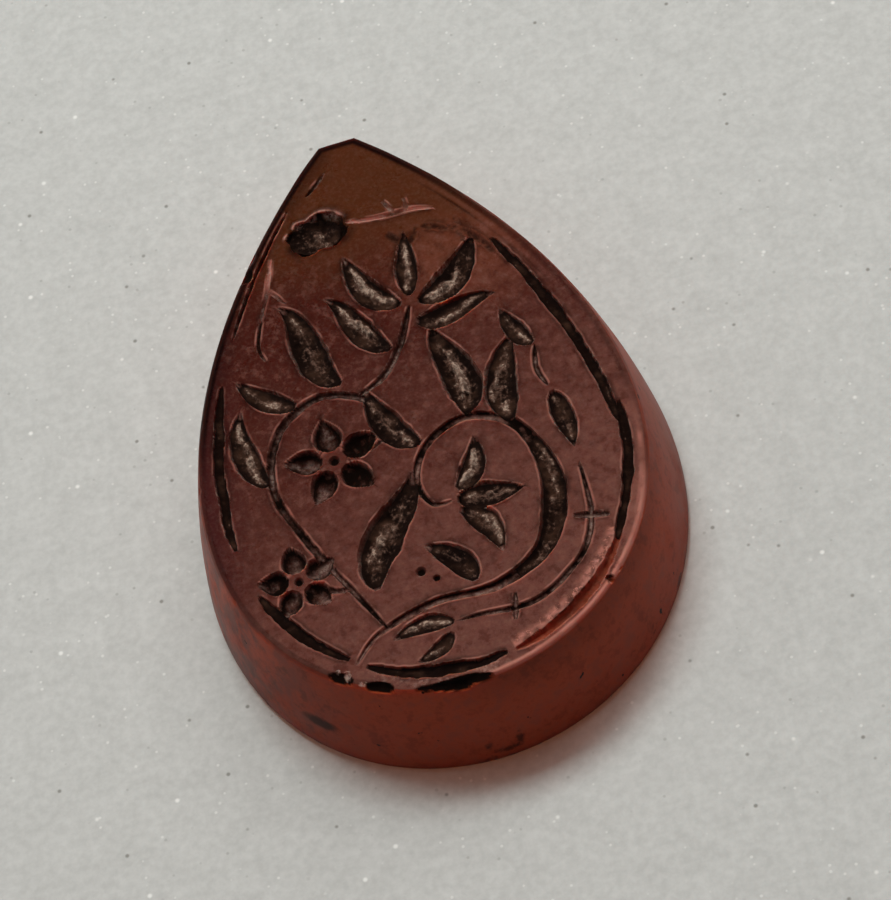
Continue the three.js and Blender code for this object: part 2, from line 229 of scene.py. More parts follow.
@dataclass
class PearOutline:
    """The outline of the face, walked clockwise from its point."""

    sizes: StoneSizes
    fine_steps: int = 4000
    reach: float = field(init=False)
    middle: Array = field(init=False)

    def __post_init__(self) -> None:
        """Finds the pear's widest half, and the middle of the back's box."""
        turns = np.linspace(0.0, TURN, self.fine_steps)
        self.middle = np.zeros(2)
        self.reach = float(np.abs(self._swell(turns)).max())
        face = self.points(turns)
        side = (face[:, 0].max() + face[:, 0].min()) / 2
        self.middle = np.array([side, -self.sizes.blunting / 2])

    def _swell(self, turns: Array) -> Array:
        """The pear's half width before it is scaled."""
        power = self.sizes.point_power
        return np.sin(turns) * np.abs(np.sin(turns / 2)) ** power * (1 + self.sizes.shoulder * np.cos(turns))

    def points(self, turns: Array) -> Array:
        """Points of the outline.

        Args:
            turns: Angles clockwise from the point.

        Returns:
            A row of two millimetres for each angle.
        """
        lean = self.sizes.lean * np.sin(turns) ** 2
        x = self._swell(turns) / self.reach * self.sizes.face_width / 2 + lean
        half = self.sizes.face_length / 2
        y = np.minimum(np.cos(turns) * half, half - self.sizes.blunting)
        return np.stack([x, y], axis=1) - self.middle

    def normals(self, turns: Array) -> Array:
        """Outward directions of the outline.

        Args:
            turns: Angles clockwise from the point.

        Returns:
            A direction of length one for each angle.
        """
        step = TURN / self.fine_steps
        along = self.points(turns + step) - self.points(turns - step)
        out = np.stack([-along[:, 1], along[:, 0]], axis=1)
        return out / np.linalg.norm(out, axis=1, keepdims=True)

    def walk(self, spacing: float) -> tuple[Array, Array]:
        """Even steps round the whole outline, with both corners of the blunted point.

        Args:
            spacing: The distance between neighbours.

        Returns:
            The corners, and the angle of each, with the short blunt edge last.
        """
        corner = math.acos(1 - 2 * self.sizes.blunting / self.sizes.face_length)
        turns = np.linspace(corner, TURN - corner, self.fine_steps)
        fine = self.points(turns)
        gone = distances(fine)
        steps = int(gone[-1] / spacing)
        round_turns = np.interp(np.linspace(0.0, gone[-1], steps + 1), gone, turns)
        ring = self.points(round_turns)
        blunt_steps = max(int(np.linalg.norm(ring[0] - ring[-1]) / spacing), 2)
        shares = np.arange(1, blunt_steps) / blunt_steps
        blunt = ring[-1] + shares[:, None] * (ring[0] - ring[-1])
        blunt_turns = TURN - corner + shares * 2 * corner
        return np.concatenate([ring, blunt]), np.concatenate([round_turns, blunt_turns % TURN])


def distances(line: Array) -> Array:
    """How far along a line each of its points lies, from its first."""
    return np.concatenate([[0.0], np.cumsum(np.linalg.norm(np.diff(line, axis=0), axis=1))])


def mitres(ring: Array) -> Array:
    """The way each corner of a clockwise ring moves when the ring grows by one millimetre.

    Args:
        ring: The ring's corners.

    Returns:
        One step for each corner.
    """
    before = ring - np.roll(ring, 1, axis=0)
    after = np.roll(ring, -1, axis=0) - ring
    before /= np.linalg.norm(before, axis=1, keepdims=True)
    after /= np.linalg.norm(after, axis=1, keepdims=True)
    first = np.stack([-before[:, 1], before[:, 0]], axis=1)
    second = np.stack([-after[:, 1], after[:, 0]], axis=1)
    return (first + second) / (1 + np.sum(first * second, axis=1, keepdims=True))


def spin_axes(turn_share: float) -> Array:
    """The directions along and across something turned by a share of a turn, one to a row."""
    angle = TURN * turn_share
    return np.array([[math.cos(angle), math.sin(angle)], [-math.sin(angle), math.cos(angle)]])


def circle(steps: int) -> Array:
    """Even places round the unit circle."""
    angle = np.linspace(0.0, TURN, steps, endpoint=False)
    return np.stack([np.cos(angle), np.sin(angle)], axis=1)


@dataclass(frozen=True)
class Lands:
    """How the polished land beside a cut looks, and how strong the painted highlight on its edges is, from 0
    to 1.
    """

    edge: float = 0.55
    rim_coral: float = 0.0
    rim_frost: float = 0.0
    inner_speckle: float = 0.0


@dataclass
class Stroke:
    """One engraved cut along a line: its half width and depth at each station, in millimetres."""

    name: str
    line: Array
    half: Array
    depth: Array
    section: Section
    fill: Fill
    seed: int
    lands: Lands
    swell_filled: bool = False
    gone: Array = field(init=False)
    left: Array = field(init=False)

    SPAN = 24
    WOBBLES = ((1.1, 1.0), (4.0, 0.6), (8.0, 0.5))
    SIDES_APART = 3.7
    SIDES_FROM = 11.0

    def __post_init__(self) -> None:
        """Measures the line and the directions to its left."""
        self.gone = distances(self.line)
        along = np.gradient(self.line, axis=0)
        along /= np.linalg.norm(along, axis=1, keepdims=True)
        self.left = np.stack([-along[:, 1], along[:, 0]], axis=1)

    def edge(self, gone: Array, side: Array) -> Array:
        """The half width, with a hand-cut edge's small wobbles.

        Args:
            gone: Distances along the line.
            side: Above zero to its left and below zero to its right.

        Returns:
            The half widths on that side.
        """
        grain = Grain(self.seed)
        places = np.stack([gone, np.sign(side) * self.SIDES_APART + self.SIDES_FROM], axis=1)
        rough = sum(share * grain.at(places, per_mm) for per_mm, share in self.WOBBLES)
        return np.interp(gone, self.gone, self.half) * (1 + self.section.ragged * rough)

    def locate(self, points: Array, reach: float) -> tuple[Array, Array, Array]:
        """Finds the points near the line, and where they lie along and across it.

        Args:
            points: Places on the face.
            reach: How far outside the cut a point may lie, in millimetres.

        Returns:
            The indices of the near points, their distance along the line and their distance to its left.
        """
        far = self.half.max() * (1 + 2 * self.section.ragged) + reach
        best = np.full(len(points), np.inf)
        gone = np.zeros(len(points))
        side = np.zeros(len(points))
        for first in range(0, len(self.line) - 1, self.SPAN):
            span = self.line[first : min(first + self.SPAN, len(self.line) - 1) + 1]
            inside = np.all((points > span.min(axis=0) - far) & (points < span.max(axis=0) + far), axis=1)
            near = np.flatnonzero(inside)
            if not len(near):
                continue
            start, along = span[:-1], np.diff(span, axis=0)
            length = np.linalg.norm(along, axis=1)
            offset = points[near, None, :] - start[None]
            share = np.clip(np.sum(offset * along, axis=2) / length**2, 0.0, 1.0)
            apart = offset - share[..., None] * along[None]
            distance = np.linalg.norm(apart, axis=2)
            pick = distance.argmin(axis=1)
            closest = distance[np.arange(len(near)), pick]
            row = np.flatnonzero(closest < best[near])
            chosen, index = pick[row], near[row]
            away = apart[row, chosen]
            cross = along[chosen, 0] * away[:, 1] - along[chosen, 1] * away[:, 0]
            best[index] = closest[row]
            gone[index] = self.gone[first + chosen] + share[row, chosen] * length[chosen]
            side[index] = np.sign(cross) * best[index]
        near = np.flatnonzero(best < far)
        return near, gone[near], side[near]

    def spots(self, gone: Array, share: Array, extra: float = 0.0) -> Array:
        """Places along the line and across it.

        Args:
            gone: Distances along the line.
            share: How far each place lies to the left, as a share of the half width there.
            extra: How much further out it lies, in millimetres.

        Returns:
            The places on the face.
        """
        centre = np.stack([np.interp(gone, self.gone, self.line[:, axis]) for axis in (0, 1)], axis=1)
        left = np.stack([np.interp(gone, self.gone, self.left[:, axis]) for axis in (0, 1)], axis=1)
        left /= np.linalg.norm(left, axis=1, keepdims=True)
        return centre + left * (share * self.edge(gone, share) + np.sign(share) * extra)[:, None]

    def rows(self, spacing: float, across: tuple[Share, ...]) -> Array:
        """Places in rows along both sides of the cut, for the face's mesh.

        Args:
            spacing: The distance between neighbours along a row.
            across: Where the rows lie, as shares of the half width and millimetres further out.

        Returns:
            The places.
        """
        steps = max(int(self.gone[-1] / spacing), 4)
        gone = np.linspace(0.0, self.gone[-1], steps + 1)
        sides = [(share * way, extra) for share, extra in across for way in (1, -1)]
        return np.concatenate([self.spots(gone, np.full(len(gone), share), extra) for share, extra in sides])


@dataclass
class Surface:
    """The carved face at a set of places: its depth, and from 0 to 1 how much of each mark it bears."""

    depth: Array
    dirt: Array
    frost: Array
    coral: Array
    speckle: Array
    shade: Array
    red: Array

    @classmethod
    def plain(cls, count: int) -> "Surface":
        """An uncut, clean surface."""
        return cls(*(np.zeros(count) for _ in fields(cls)))


@dataclass(frozen=True)
class CutSizes:
    """The sizes of the cuts in millimetres."""

    leaf_width: float = 1.08
    leaf_depth: float = 0.44
    stem_width: float = 0.3
    stem_depth: float = 0.17
    border_width: float = 0.34
    border_depth: float = 0.28
    border_inset: float = 0.8
    pit_length: float = 2.2
    pit_width: float = 1.6
    pit_depth: float = 0.55
    drill_diameter: float = 0.34
    chip_length: float = 1.3
    chip_depth: float = 0.28
    worn_share: float = 0.25


@dataclass(frozen=True)
class Leaf:
    """A leaf, petal or bud: its ends as shares of the face's half sizes, its bows and its width share."""

    name: str
    start: Share
    end: Share
    bows: Share
    width: float


@dataclass(frozen=True)
class Flower:
    """A flower of even petals: its centre, petal count, and sizes as shares of the leaf width."""

    at: Share
    petals: int
    inner: float
    outer: float
    width: float


@dataclass(frozen=True)
class Swell:
    """Where a stem swells: by how many widths more, at what share of its way, and over what reach."""

    more: float
    at: float
    reach: float


@dataclass(frozen=True)
class Stem:
    """A stem or twig: its width as a share of the stem width, and its points as shares of the face."""

    width: float
    points: tuple[Share, ...]
    name: str = ""
    swell: Swell | None = None
    fill: Fill = Fill.STAINED


@dataclass(frozen=True)
class Run:
    """One run of the border line: its ends round the outline, its insets, width share, fill and lands."""

    name: str
    start: float
    stop: float
    insets: tuple[float, float, float]
    width: float
    fill: Fill
    lands: Lands


@dataclass(frozen=True)
class Dot:
    """A drilled dot: its centre as shares of the face, and its size share."""

    at: Share
    size: float


@dataclass(frozen=True)
class Chip:
    """A chip out of the rim: its place round the outline, its size shares, its dark share of dirt and painted
    shadow, and its frost.
    """

    around: float
    length: float
    width: float
    depth: float
    dirt: float
    frost: float


LEAVES = (
    Leaf("lotus_middle", (0.13, -0.41), (0.43, -0.43), (0.0, 0.0), 0.95),
    Leaf("lotus_upper", (0.14, -0.375), (0.27, -0.215), (-0.24, -0.14), 0.8),
    Leaf("lotus_lower", (0.13, -0.445), (0.27, -0.62), (0.24, 0.14), 0.85),
    Leaf("scroll_inner_leaf", (0.12, -0.69), (-0.06, -0.53), (-0.2, -0.12), 0.9),
    Leaf("scroll_right_leaf", (0.46, -0.2), (0.56, 0.1), (0.2, 0.12), 1.1),
    Leaf("scroll_tall_leaf", (0.26, -0.135), (0.21, 0.2), (-0.22, 0.04), 1.25),
    Leaf("scroll_left_leaf", (0.04, -0.19), (-0.15, 0.05), (0.2, 0.1), 1.0),
    Leaf("broad_leaf", (-0.3, -0.63), (-0.03, -0.27), (0.24, -0.1), 1.3),
    Leaf("outer_left_leaf", (-0.67, -0.19), (-0.71, 0.1), (0.12, 0.2), 0.85),
    Leaf("shoulder_leaf", (-0.46, 0.06), (-0.71, 0.2), (0.16, 0.1), 0.8),
    Leaf("upper_left_leaf", (-0.24, 0.09), (-0.45, 0.42), (0.22, -0.16), 1.15),
    Leaf("riser_left_leaf", (0.02, 0.16), (-0.23, 0.4), (0.18, -0.1), 0.95),
    Leaf("riser_right_leaf", (0.15, 0.235), (0.53, 0.25), (-0.2, 0.1), 0.9),
    Leaf("tulip_left", (0.11, 0.305), (-0.1, 0.53), (0.24, 0.12), 1.0),
    Leaf("tulip_middle", (0.15, 0.325), (0.2, 0.56), (0.0, 0.0), 0.75),
    Leaf("tulip_right", (0.18, 0.3), (0.5, 0.48), (-0.26, -0.14), 1.1),
    Leaf("vine_bud", (0.655, -0.14), (0.69, -0.35), (0.04, 0.04), 0.75),
    Leaf("vine_leaf", (0.64, 0.04), (0.53, 0.19), (0.16, 0.06), 0.7),
    Leaf("foot_upper_leaf", (-0.01, -0.8), (-0.29, -0.805), (-0.18, -0.12), 0.65),
    Leaf("foot_lower_leaf", (-0.03, -0.83), (-0.21, -0.895), (0.16, 0.12), 0.55),
)

FLOWERS = (
    Flower((-0.355, -0.165), 5, 0.36, 1.6, 0.92),
    Flower((-0.63, -0.53), 5, 0.3, 1.3, 0.82),
)
PETAL_TURN = 0.06

STEMS = (
    Stem(1.2, (
        (-0.47, -0.85), (-0.34, -0.77), (-0.08, -0.72), (0.22, -0.72), (0.46, -0.63), (0.56, -0.42),
        (0.47, -0.22), (0.26, -0.145), (0.06, -0.2), (-0.02, -0.31), (0.02, -0.4), (0.11, -0.41),
    ), "scroll_stem", Swell(1.5, 0.47, 0.13), Fill.RESIDUE),
    Stem(1.1, (
        (-0.3, -0.76), (-0.4, -0.62), (-0.56, -0.4), (-0.65, -0.2), (-0.57, -0.02), (-0.36, 0.065),
        (-0.15, 0.01), (-0.09, -0.1), (-0.19, -0.17),
    )),
    Stem(0.8, ((-0.42, -0.6), (-0.49, -0.59), (-0.57, -0.55))),
    Stem(1.0, ((-0.18, 0.03), (-0.04, 0.08), (0.06, 0.17), (0.14, 0.29))),
    Stem(0.9, (
        (0.69, -0.4), (0.69, -0.49), (0.68, -0.58), (0.62, -0.68), (0.5, -0.755), (0.37, -0.8), (0.26, -0.81),
        (0.11, -0.8), (0.01, -0.8),
    )),
    Stem(0.75, ((0.65, -0.12), (0.62, -0.05), (0.64, 0.03))),
    Stem(0.9, ((0.6, -0.57), (0.76, -0.6))),
    Stem(0.75, ((0.275, -0.76), (0.245, -0.85))),
    Stem(0.7, ((-0.05, 0.65), (0.1, 0.635), (0.26, 0.63), (0.36, 0.61)), fill=Fill.BARE),
    Stem(0.65, ((0.14, 0.69), (0.18, 0.635)), fill=Fill.BARE),
    Stem(0.65, ((0.24, 0.68), (0.24, 0.63)), fill=Fill.BARE),
    Stem(0.55, ((-0.42, 0.6), (-0.47, 0.49), (-0.54, 0.38)), fill=Fill.BARE),
    Stem(0.5, ((-0.47, 0.49), (-0.4, 0.42)), fill=Fill.BARE),
    Stem(0.55, ((-0.53, 0.39), (-0.57, 0.3), (-0.55, 0.24))),
    Stem(0.6, ((-0.2, 0.784), (-0.15, 0.811), (-0.085, 0.853))),
    Stem(1.5, ((0.12, 0.57), (0.17, 0.53), (0.22, 0.52), (0.25, 0.55)), fill=Fill.WORN),
    Stem(1.1, ((0.28, 0.56), (0.34, 0.545), (0.4, 0.52)), fill=Fill.WORN),
    Stem(1.3, ((0.4, 0.535), (0.47, 0.5), (0.54, 0.44), (0.58, 0.38)), fill=Fill.WORN),
    Stem(1.0, ((0.44, 0.56), (0.46, 0.52), (0.45, 0.46)), fill=Fill.WORN),
)

DOTS = (
    Dot((-0.355, -0.165), 1.0),
    Dot((-0.63, -0.53), 0.85),
    Dot((-0.1, -0.61), 0.95),
    Dot((-0.04, -0.645), 0.8),
)

RUNS = (
    Run("upper_right", 0.17, 0.3, (0.95, 1.25, 1.0), 1.25, Fill.RESIDUE, Lands(0.3)),
    # The right and lower right runs carry painted glow of light through the stone: coral on their edges, on
    # the land beside the right run and in the speckled band inside the lower right run.
    Run("right", 0.288, 0.376, (0.78, 0.82, 0.66), 1.2, Fill.RESIDUE, Lands(0.5, rim_coral=0.12)),
    Run("lower_right", 0.368, 0.47, (0.66, 0.52, 0.6), 1.15, Fill.CLEAN, Lands(0.7, inner_speckle=1.0)),
    Run("foot", 0.474, 0.566, (0.66, 0.8, 0.9), 1.3, Fill.RESIDUE, Lands(0.5, rim_frost=0.35)),
    Run("lower_left", 0.578, 0.655, (1.0, 1.08, 0.95), 1.3, Fill.RESIDUE, Lands(0.3)),
    Run("left", 0.688, 0.785, (0.98, 0.92, 0.65), 1.2, Fill.RESIDUE, Lands(0.25)),
    Run("upper_left", 0.81, 0.89, (0.6, 0.5, 0.45), 0.5, Fill.STAINED, Lands(0.4)),
)

CHIPS = (
    # The first three chips lie under the lower rim: their full dirt share paints the black of the undercut,
    # painted shadow as well as dirt.
    Chip(0.51, 2.1, 0.42, 1.0, 1.0, 0.0),
    Chip(0.555, 0.75, 0.4, 1.0, 1.0, 0.0),
    Chip(0.579, 0.85, 0.42, 0.8, 1.0, 0.0),
    Chip(0.5755, 0.24, 0.6, 0.62, 0.0, 2.6),
    Chip(0.5815, 0.2, 0.5, 0.5, 0.0, 2.6),
    Chip(0.5645, 0.2, 0.3, 0.3, 0.0, 1.2),
    Chip(0.846, 0.55, 0.5, 0.8, 0.9, 0.0),
    Chip(0.4, 0.2, 0.4, 0.6, 0.9, 0.0),
)

PIT_AT = (-0.2, 0.64)
PIT_TURN = 0.03


@dataclass(frozen=True)
class CutMarks:
    """How the marks in and beside the cuts fade and vary.

    Ramps named for a floor or a wall run over shares of the half width, and the others over millimetres.
    """

    floor_grain: float = 0.09
    floor: Ramp = Ramp(1.0, 0.7)
    deep_enough: Ramp = Ramp(0.01, 0.06)
    land_start: Ramp = Ramp(0.0, 0.045)
    land_fade: float = 0.07
    inner_start: Ramp = Ramp(0.0, 0.04)
    inner_stop: float = 0.16
    inner_more: float = 0.08
    speckle_light: Patchy = Patchy(0.35, 0.6, most=0.8)
    rim_frost: Patchy = Patchy(0.6, 0.9, 0.5, 0.1, 1.4)
    stain: Ramp = Ramp(0.2, 0.03)
    stain_patches: Patchy = Patchy(0.15, 0.75, most=0.6)
    # painted highlight along the cut's edges: where it lies, its breaks and how much more it shows on one
    # side
    glow: Band = Band((-0.045, -0.01), (0.075, 0.03))
    glow_breaks: Patchy = Patchy(0.34, 1.5)
    glow_facing: Share = (0.7, 0.3)
    wall: Ramp = Ramp(0.8, 0.9)
    crest: Ramp = Ramp(0.66, 0.15)
    crest_patches: Patchy = Patchy(0.45, 0.5, 0.9)
    crest_clean: float = 0.8
    crest_pale: float = 0.55
    wall_pale: float = 0.2
    stained_floor: Ramp = Ramp(1.02, 0.8)
    residue_floor: Ramp = Ramp(1.03, 0.76)
    residue_glow_floor: Ramp = Ramp(0.9, 0.5)
    residue_glow: float = 0.25
    bare_ends: Ramp = Ramp(0.4, 0.2)
    bare_swell_ends: Ramp = Ramp(0.62, 0.42)
    residue_wall: Patchy = Patchy(0.25, slow=0.3)
    clean_floor: Ramp = Ramp(1.0, 0.5)
    clean_dirt: float = 0.4
    clean_patches: Patchy = Patchy(0.7, slow=1.0)
    clean_wall: float = 0.15
    worn_floor: Ramp = Ramp(1.0, 0.3)
    worn_patches: Patchy = Patchy(0.5, 0.8, 0.4, 0.05, 0.8)
    bare_floor: Ramp = Ramp(0.95, 0.5)
    bare_stain: Patchy = Patchy(-0.45, 0.5, -1.2, most=0.6)
    bare_dust_floor: Ramp = Ramp(1.0, 0.6)
    bare_dust: Patchy = Patchy(0.3, 0.8, most=0.6)
    bare_glow_floor: Ramp = Ramp(1.0, 0.85)
    bare_glow: Patchy = Patchy(0.5, slow=0.7, least=0.1, most=0.9)


@dataclass(frozen=True)
class PitMarks:
    """The worn pit's form and marks, over shares of the way from its middle to its ragged edge."""

    ragged: float = 0.13
    power: float = 2.2
    bend: float = 0.7
    lumps: float = 0.25
    grit_mm: float = 0.03
    upper: Ramp = Ramp(0.1, 0.6)
    facet: Band = Band((0.97, 1.0), (1.12, 1.04))
    facet_end: float = 1.12
    lump_shares: Patchy = Patchy(0.3, 1.1, 1.2, most=0.75)
    facet_frost: float = 0.5
    bare: Band = Band((0.8, 0.88), (1.0, 0.96))
    bare_patches: Patchy = Patchy(0.2, 1.6, most=0.85)
    bare_frost: float = 0.8
    dirt: Ramp = Ramp(1.03, 0.98)
    smear: Ramp = Ramp(1.35, 1.0)
    smear_patches: Patchy = Patchy(0.5, 0.6, most=0.85)


@dataclass
class Engraving:
    """All the cuts in the face, and the carved surface that they leave."""

    outline: PearOutline
    cuts: CutSizes
    marks: CutMarks = CutMarks()
    pit: PitMarks = PitMarks()
    step: float = 0.06
    land_reach: float = 0.34
    seed: int = 41
    strokes: list[Stroke] = field(init=False)
    grain: Grain = field(init=False)

    EDGE_ROWS = ((1.0, 0.0), (1.0, 0.035), (1.0, 0.075), (1.0, 0.125))
    LAND_ROWS = ((1.0, 0.18), (1.0, 0.25), (1.0, 0.33), (1.0, 0.42))
    WIDE_ROWS = ((0.95, 0.0), (0.88, 0.0), (0.78, 0.0), (0.6, 0.0), (0.38, 0.0), (0.14, 0.0))
    SLIM_ROWS = ((0.84, 0.0), (0.55, 0.0), (0.2, 0.0))
    PIT_ROWS = (1.0, 1.04, 1.1, 1.2, 1.35, 0.96, 0.91, 0.84, 0.76, 0.67, 0.57, 0.46, 0.34, 0.2)
    PIT_STEPS = 110
    DOT_ROWS = (0.0, 0.35, 0.7, 0.9, 1.0, 1.2)
    DOT_STEPS = 18
    DOT_DIRT = Ramp(1.02, 0.8)
    ROW_STRETCH = 1.25
    CURVE_STEPS = 24
    FIRST_SEED = 100
    LEAF_LEAN = 0.75
    LEAF_POWER = 0.8
    END_POWER = 0.3
    SWOLLEN = 1.01
    NEAR_MARGIN = 0.1
    LEAST_HALF = 1e-4
    FINE_PER_MM = 7.0
    GRIT_PER_MM = 5.0
    ROUGH_PER_MM = 2.4
    WANDER_PER_MM = 1.1
    SMEAR_PER_MM = 0.9
    SMEAR_APART = 5.3
    GLOW_PER_MM = 1.7
    GLOW_APART = 2.9

    def __post_init__(self) -> None:
        """Lays out every stroke."""
        self.grain = Grain(self.seed)
        self.strokes = []
        for leaf in LEAVES:
            self._add_leaf(leaf.name, self._leaf_line(leaf), leaf.width, Fill.RESIDUE)
        for number, flower in enumerate(FLOWERS):
            for petal in range(flower.petals):
                line = self._petal_line(flower, petal)
                self._add_leaf(f"petal_{number}_{petal}", line, flower.width, Fill.STAINED)
        for number, stem in enumerate(STEMS):
            self._add_stem(stem, stem.name or f"stem_{number}")
        for run in RUNS:
            self._add_run(run)

    def on_face(self, at: Share) -> Array:
        """A place on the face from shares of its half width and half length."""
        sizes = self.outline.sizes
        return np.array([at[0] * sizes.face_width, at[1] * sizes.face_length]) / 2 - self.outline.middle

    def _leaf_line(self, leaf: Leaf) -> Array:
        """The points of a leaf's middle line, a curve between its ends."""
        start, end = self.on_face(leaf.start), self.on_face(leaf.end)
        chord = end - start
        left = np.array([-chord[1], chord[0]])
        first = start + chord / 3 + left * leaf.bows[0]
        second = start + chord * 2 / 3 + left * leaf.bows[1]
        share = np.linspace(0.0, 1.0, max(int(np.linalg.norm(chord) / self.step), 12))[:, None]
        rest = 1 - share
        return start * rest**3 + 3 * first * share * rest**2 + 3 * second * share**2 * rest + end * share**3

    def _petal_line(self, flower: Flower, petal: int) -> Array:
        """The points of one petal's middle line."""
        angle = TURN * (petal / flower.petals + PETAL_TURN)
        along = np.array([math.cos(angle), math.sin(angle)]) * self.cuts.leaf_width
        reach = np.linspace(flower.inner, flower.outer, self.CURVE_STEPS)[:, None]
        return self.on_face(flower.at) + reach * along

    def _curve(self, points: tuple[Share, ...]) -> Array:
        """A smooth curve through points on the face, in even steps.

        Args:
            points: The points, as shares of the face.

        Returns:
            The curve's points in millimetres.
        """
        places = np.array([self.on_face(at) for at in points])
        padded = np.concatenate([places[:1], places, places[-1:]])
        share = np.linspace(0.0, 1.0, self.CURVE_STEPS, endpoint=False)[:, None]
        square, cube = share**2, share**3
        parts = []
        for i in range(1, len(padded) - 2):
            before, here, there, after = padded[i - 1 : i + 3]
            pull, push = (there - before) / 2, (after - here) / 2
            ends = (2 * cube - 3 * square + 1) * here + (3 * square - 2 * cube) * there
            parts.append(ends + (cube - 2 * square + share) * pull + (cube - square) * push)
        fine = np.concatenate([*parts, places[-1:]])
        gone = distances(fine)
        even = np.linspace(0.0, gone[-1], max(int(gone[-1] / self.step), 6))
        return np.stack([np.interp(even, gone, fine[:, axis]) for axis in (0, 1)], axis=1)

    def _keep(
        self,
        name: str,
        line: Array,
        size: Share,
        full: Array,
        kind: tuple[Section, Fill],
        lands: Lands = Lands(),
    ) -> None:
        """Keeps one stroke, with a seed of its own.

        Args:
            name: The stroke's name.
            line: Its middle line.
            size: Its plain width and depth.
            full: How full it is at each point of the line, as a share of the plain size.
            kind: Its section and its fill.
            lands: How the land beside it looks.
        """
        width, depth = size
        seed = self.FIRST_SEED + len(self.strokes)
        swell_filled = kind == (Section.GOUGE, Fill.RESIDUE) and full.max() > self.SWOLLEN
        half = width / 2 * full
        self.strokes.append(Stroke(name, line, half, depth * full, *kind, seed, lands, swell_filled))

    def _add_leaf(self, name: str, line: Array, width: float, fill: Fill) -> None:
        """Adds a tapered cut, full near its root and drawn out to a fine tip.

        Args:
            name: The cut's name.
            line: Its middle line.
            width: Its width as a share of the leaf width.
            fill: What lies in it.
        """
        share = np.linspace(0.0, 1.0, len(line))
        full = np.clip(np.sin(math.pi * share**self.LEAF_LEAN), 0.0, 1.0) ** self.LEAF_POWER
        size = (self.cuts.leaf_width * width, self.cuts.leaf_depth * width)
        self._keep(name, line, size, full, (Section.GOUGE, fill))

    def _quick_ends(self, share: Array) -> Array:
        """How wide a stem or groove is along its length: even, with quick ends."""
        return np.clip(np.sin(math.pi * share), 0.0, 1.0) ** self.END_POWER

    def _add_stem(self, stem: Stem, name: str) -> None:
        """Adds an even, thin cut, or one that swells and holds residue where it is full.

        Args:
            stem: The stem.
            name: The cut's name.
        """
        line = self._curve(stem.points)
        share = np.linspace(0.0, 1.0, len(line))
        full = self._quick_ends(share)
        section = Section.SCRATCH
        if stem.swell:
            full *= 1 + stem.swell.more * np.exp(-(((share - stem.swell.at) / stem.swell.reach) ** 2))
            section = Section.GOUGE
        deep = self.cuts.worn_share if stem.fill is Fill.WORN else 1.0
        size = (self.cuts.stem_width * stem.width, self.cuts.stem_depth * stem.width * deep)
        lands = Lands(edge=0.0) if stem.fill is Fill.WORN else Lands()
        self._keep(name, line, size, full, (section, stem.fill), lands)

    def _add_run(self, run: Run) -> None:
        """Adds one run of the border line."""
        outline, cuts = self.outline, self.cuts
        round_length = math.pi * (outline.sizes.face_width + outline.sizes.face_length) / 2
        steps = max(int((run.stop - run.start) * round_length / self.step), 8)
        share = np.linspace(0.0, 1.0, steps)
        start, middle, end = run.insets
        inset = start * (1 - share) ** 2 + (4 * middle - start - end) * share * (1 - share) + end * share**2
        turns = TURN * (run.start + (run.stop - run.start) * share)
        line = outline.points(turns) - outline.normals(turns) * (inset * cuts.border_inset)[:, None]
        size = (cuts.border_width * run.width, cuts.border_depth)
        kind = (Section.GROOVE, run.fill)
        self._keep(f"border_{run.name}", line, size, self._quick_ends(share), kind, run.lands)

    def pit_places(self, points: Array) -> Array:
        """Turns places on the face into the pit's own frame.

        Args:
            points: The places.

        Returns:
            Them in a frame where the pit's mean edge is the unit circle.
        """
        (cos, sin), _ = spin_axes(PIT_TURN)
        offset = points - self.on_face(PIT_AT)
        along = offset[:, 0] * cos + offset[:, 1] * sin
        across = offset[:, 1] * cos - offset[:, 0] * sin
        return np.stack([along / self.cuts.pit_length, across / self.cuts.pit_width], axis=1) * 2

    def pit_ring(self, ring: Array, share: float) -> Array:
        """Places round the pit from places on the unit circle, at a share of the way to its ragged edge."""
        radii = np.array([self.cuts.pit_length, self.cuts.pit_width]) / 2
        reach = self._pit_edge(ring)[:, None] * share
        return self.on_face(PIT_AT) + ring * reach * radii @ spin_axes(PIT_TURN)

    def _pit_edge(self, ring: Array) -> Array:
        """How far out the pit's ragged edge lies in each direction, as a share of its mean radius."""
        return 1 + self.pit.ragged * self.grain.at(ring * 3, 0.6, 2)

    def carve(self, points: Array) -> Surface:
        """Works out the carved surface at places on the face.

        Args:
            points: Places on the face, in millimetres.

        Returns:
            The depth and the marks at each place.
        """
        surface = Surface.plain(len(points))
        fine = self.grain.at(points, self.FINE_PER_MM, 2)
        for stroke in self.strokes:
            self._carve_stroke(surface, stroke, points, fine)
        self._carve_pit(surface, points, fine)
        for dot in DOTS:
            radius = self.cuts.drill_diameter * dot.size / 2
            away = np.linalg.norm(points - self.on_face(dot.at), axis=1) / radius
            cut = radius * np.sqrt(np.clip(1 - away**2, 0.0, 1.0))
            surface.depth = np.maximum(surface.depth, cut)
            surface.dirt = np.maximum(surface.dirt, self.DOT_DIRT.at(away))
        return surface

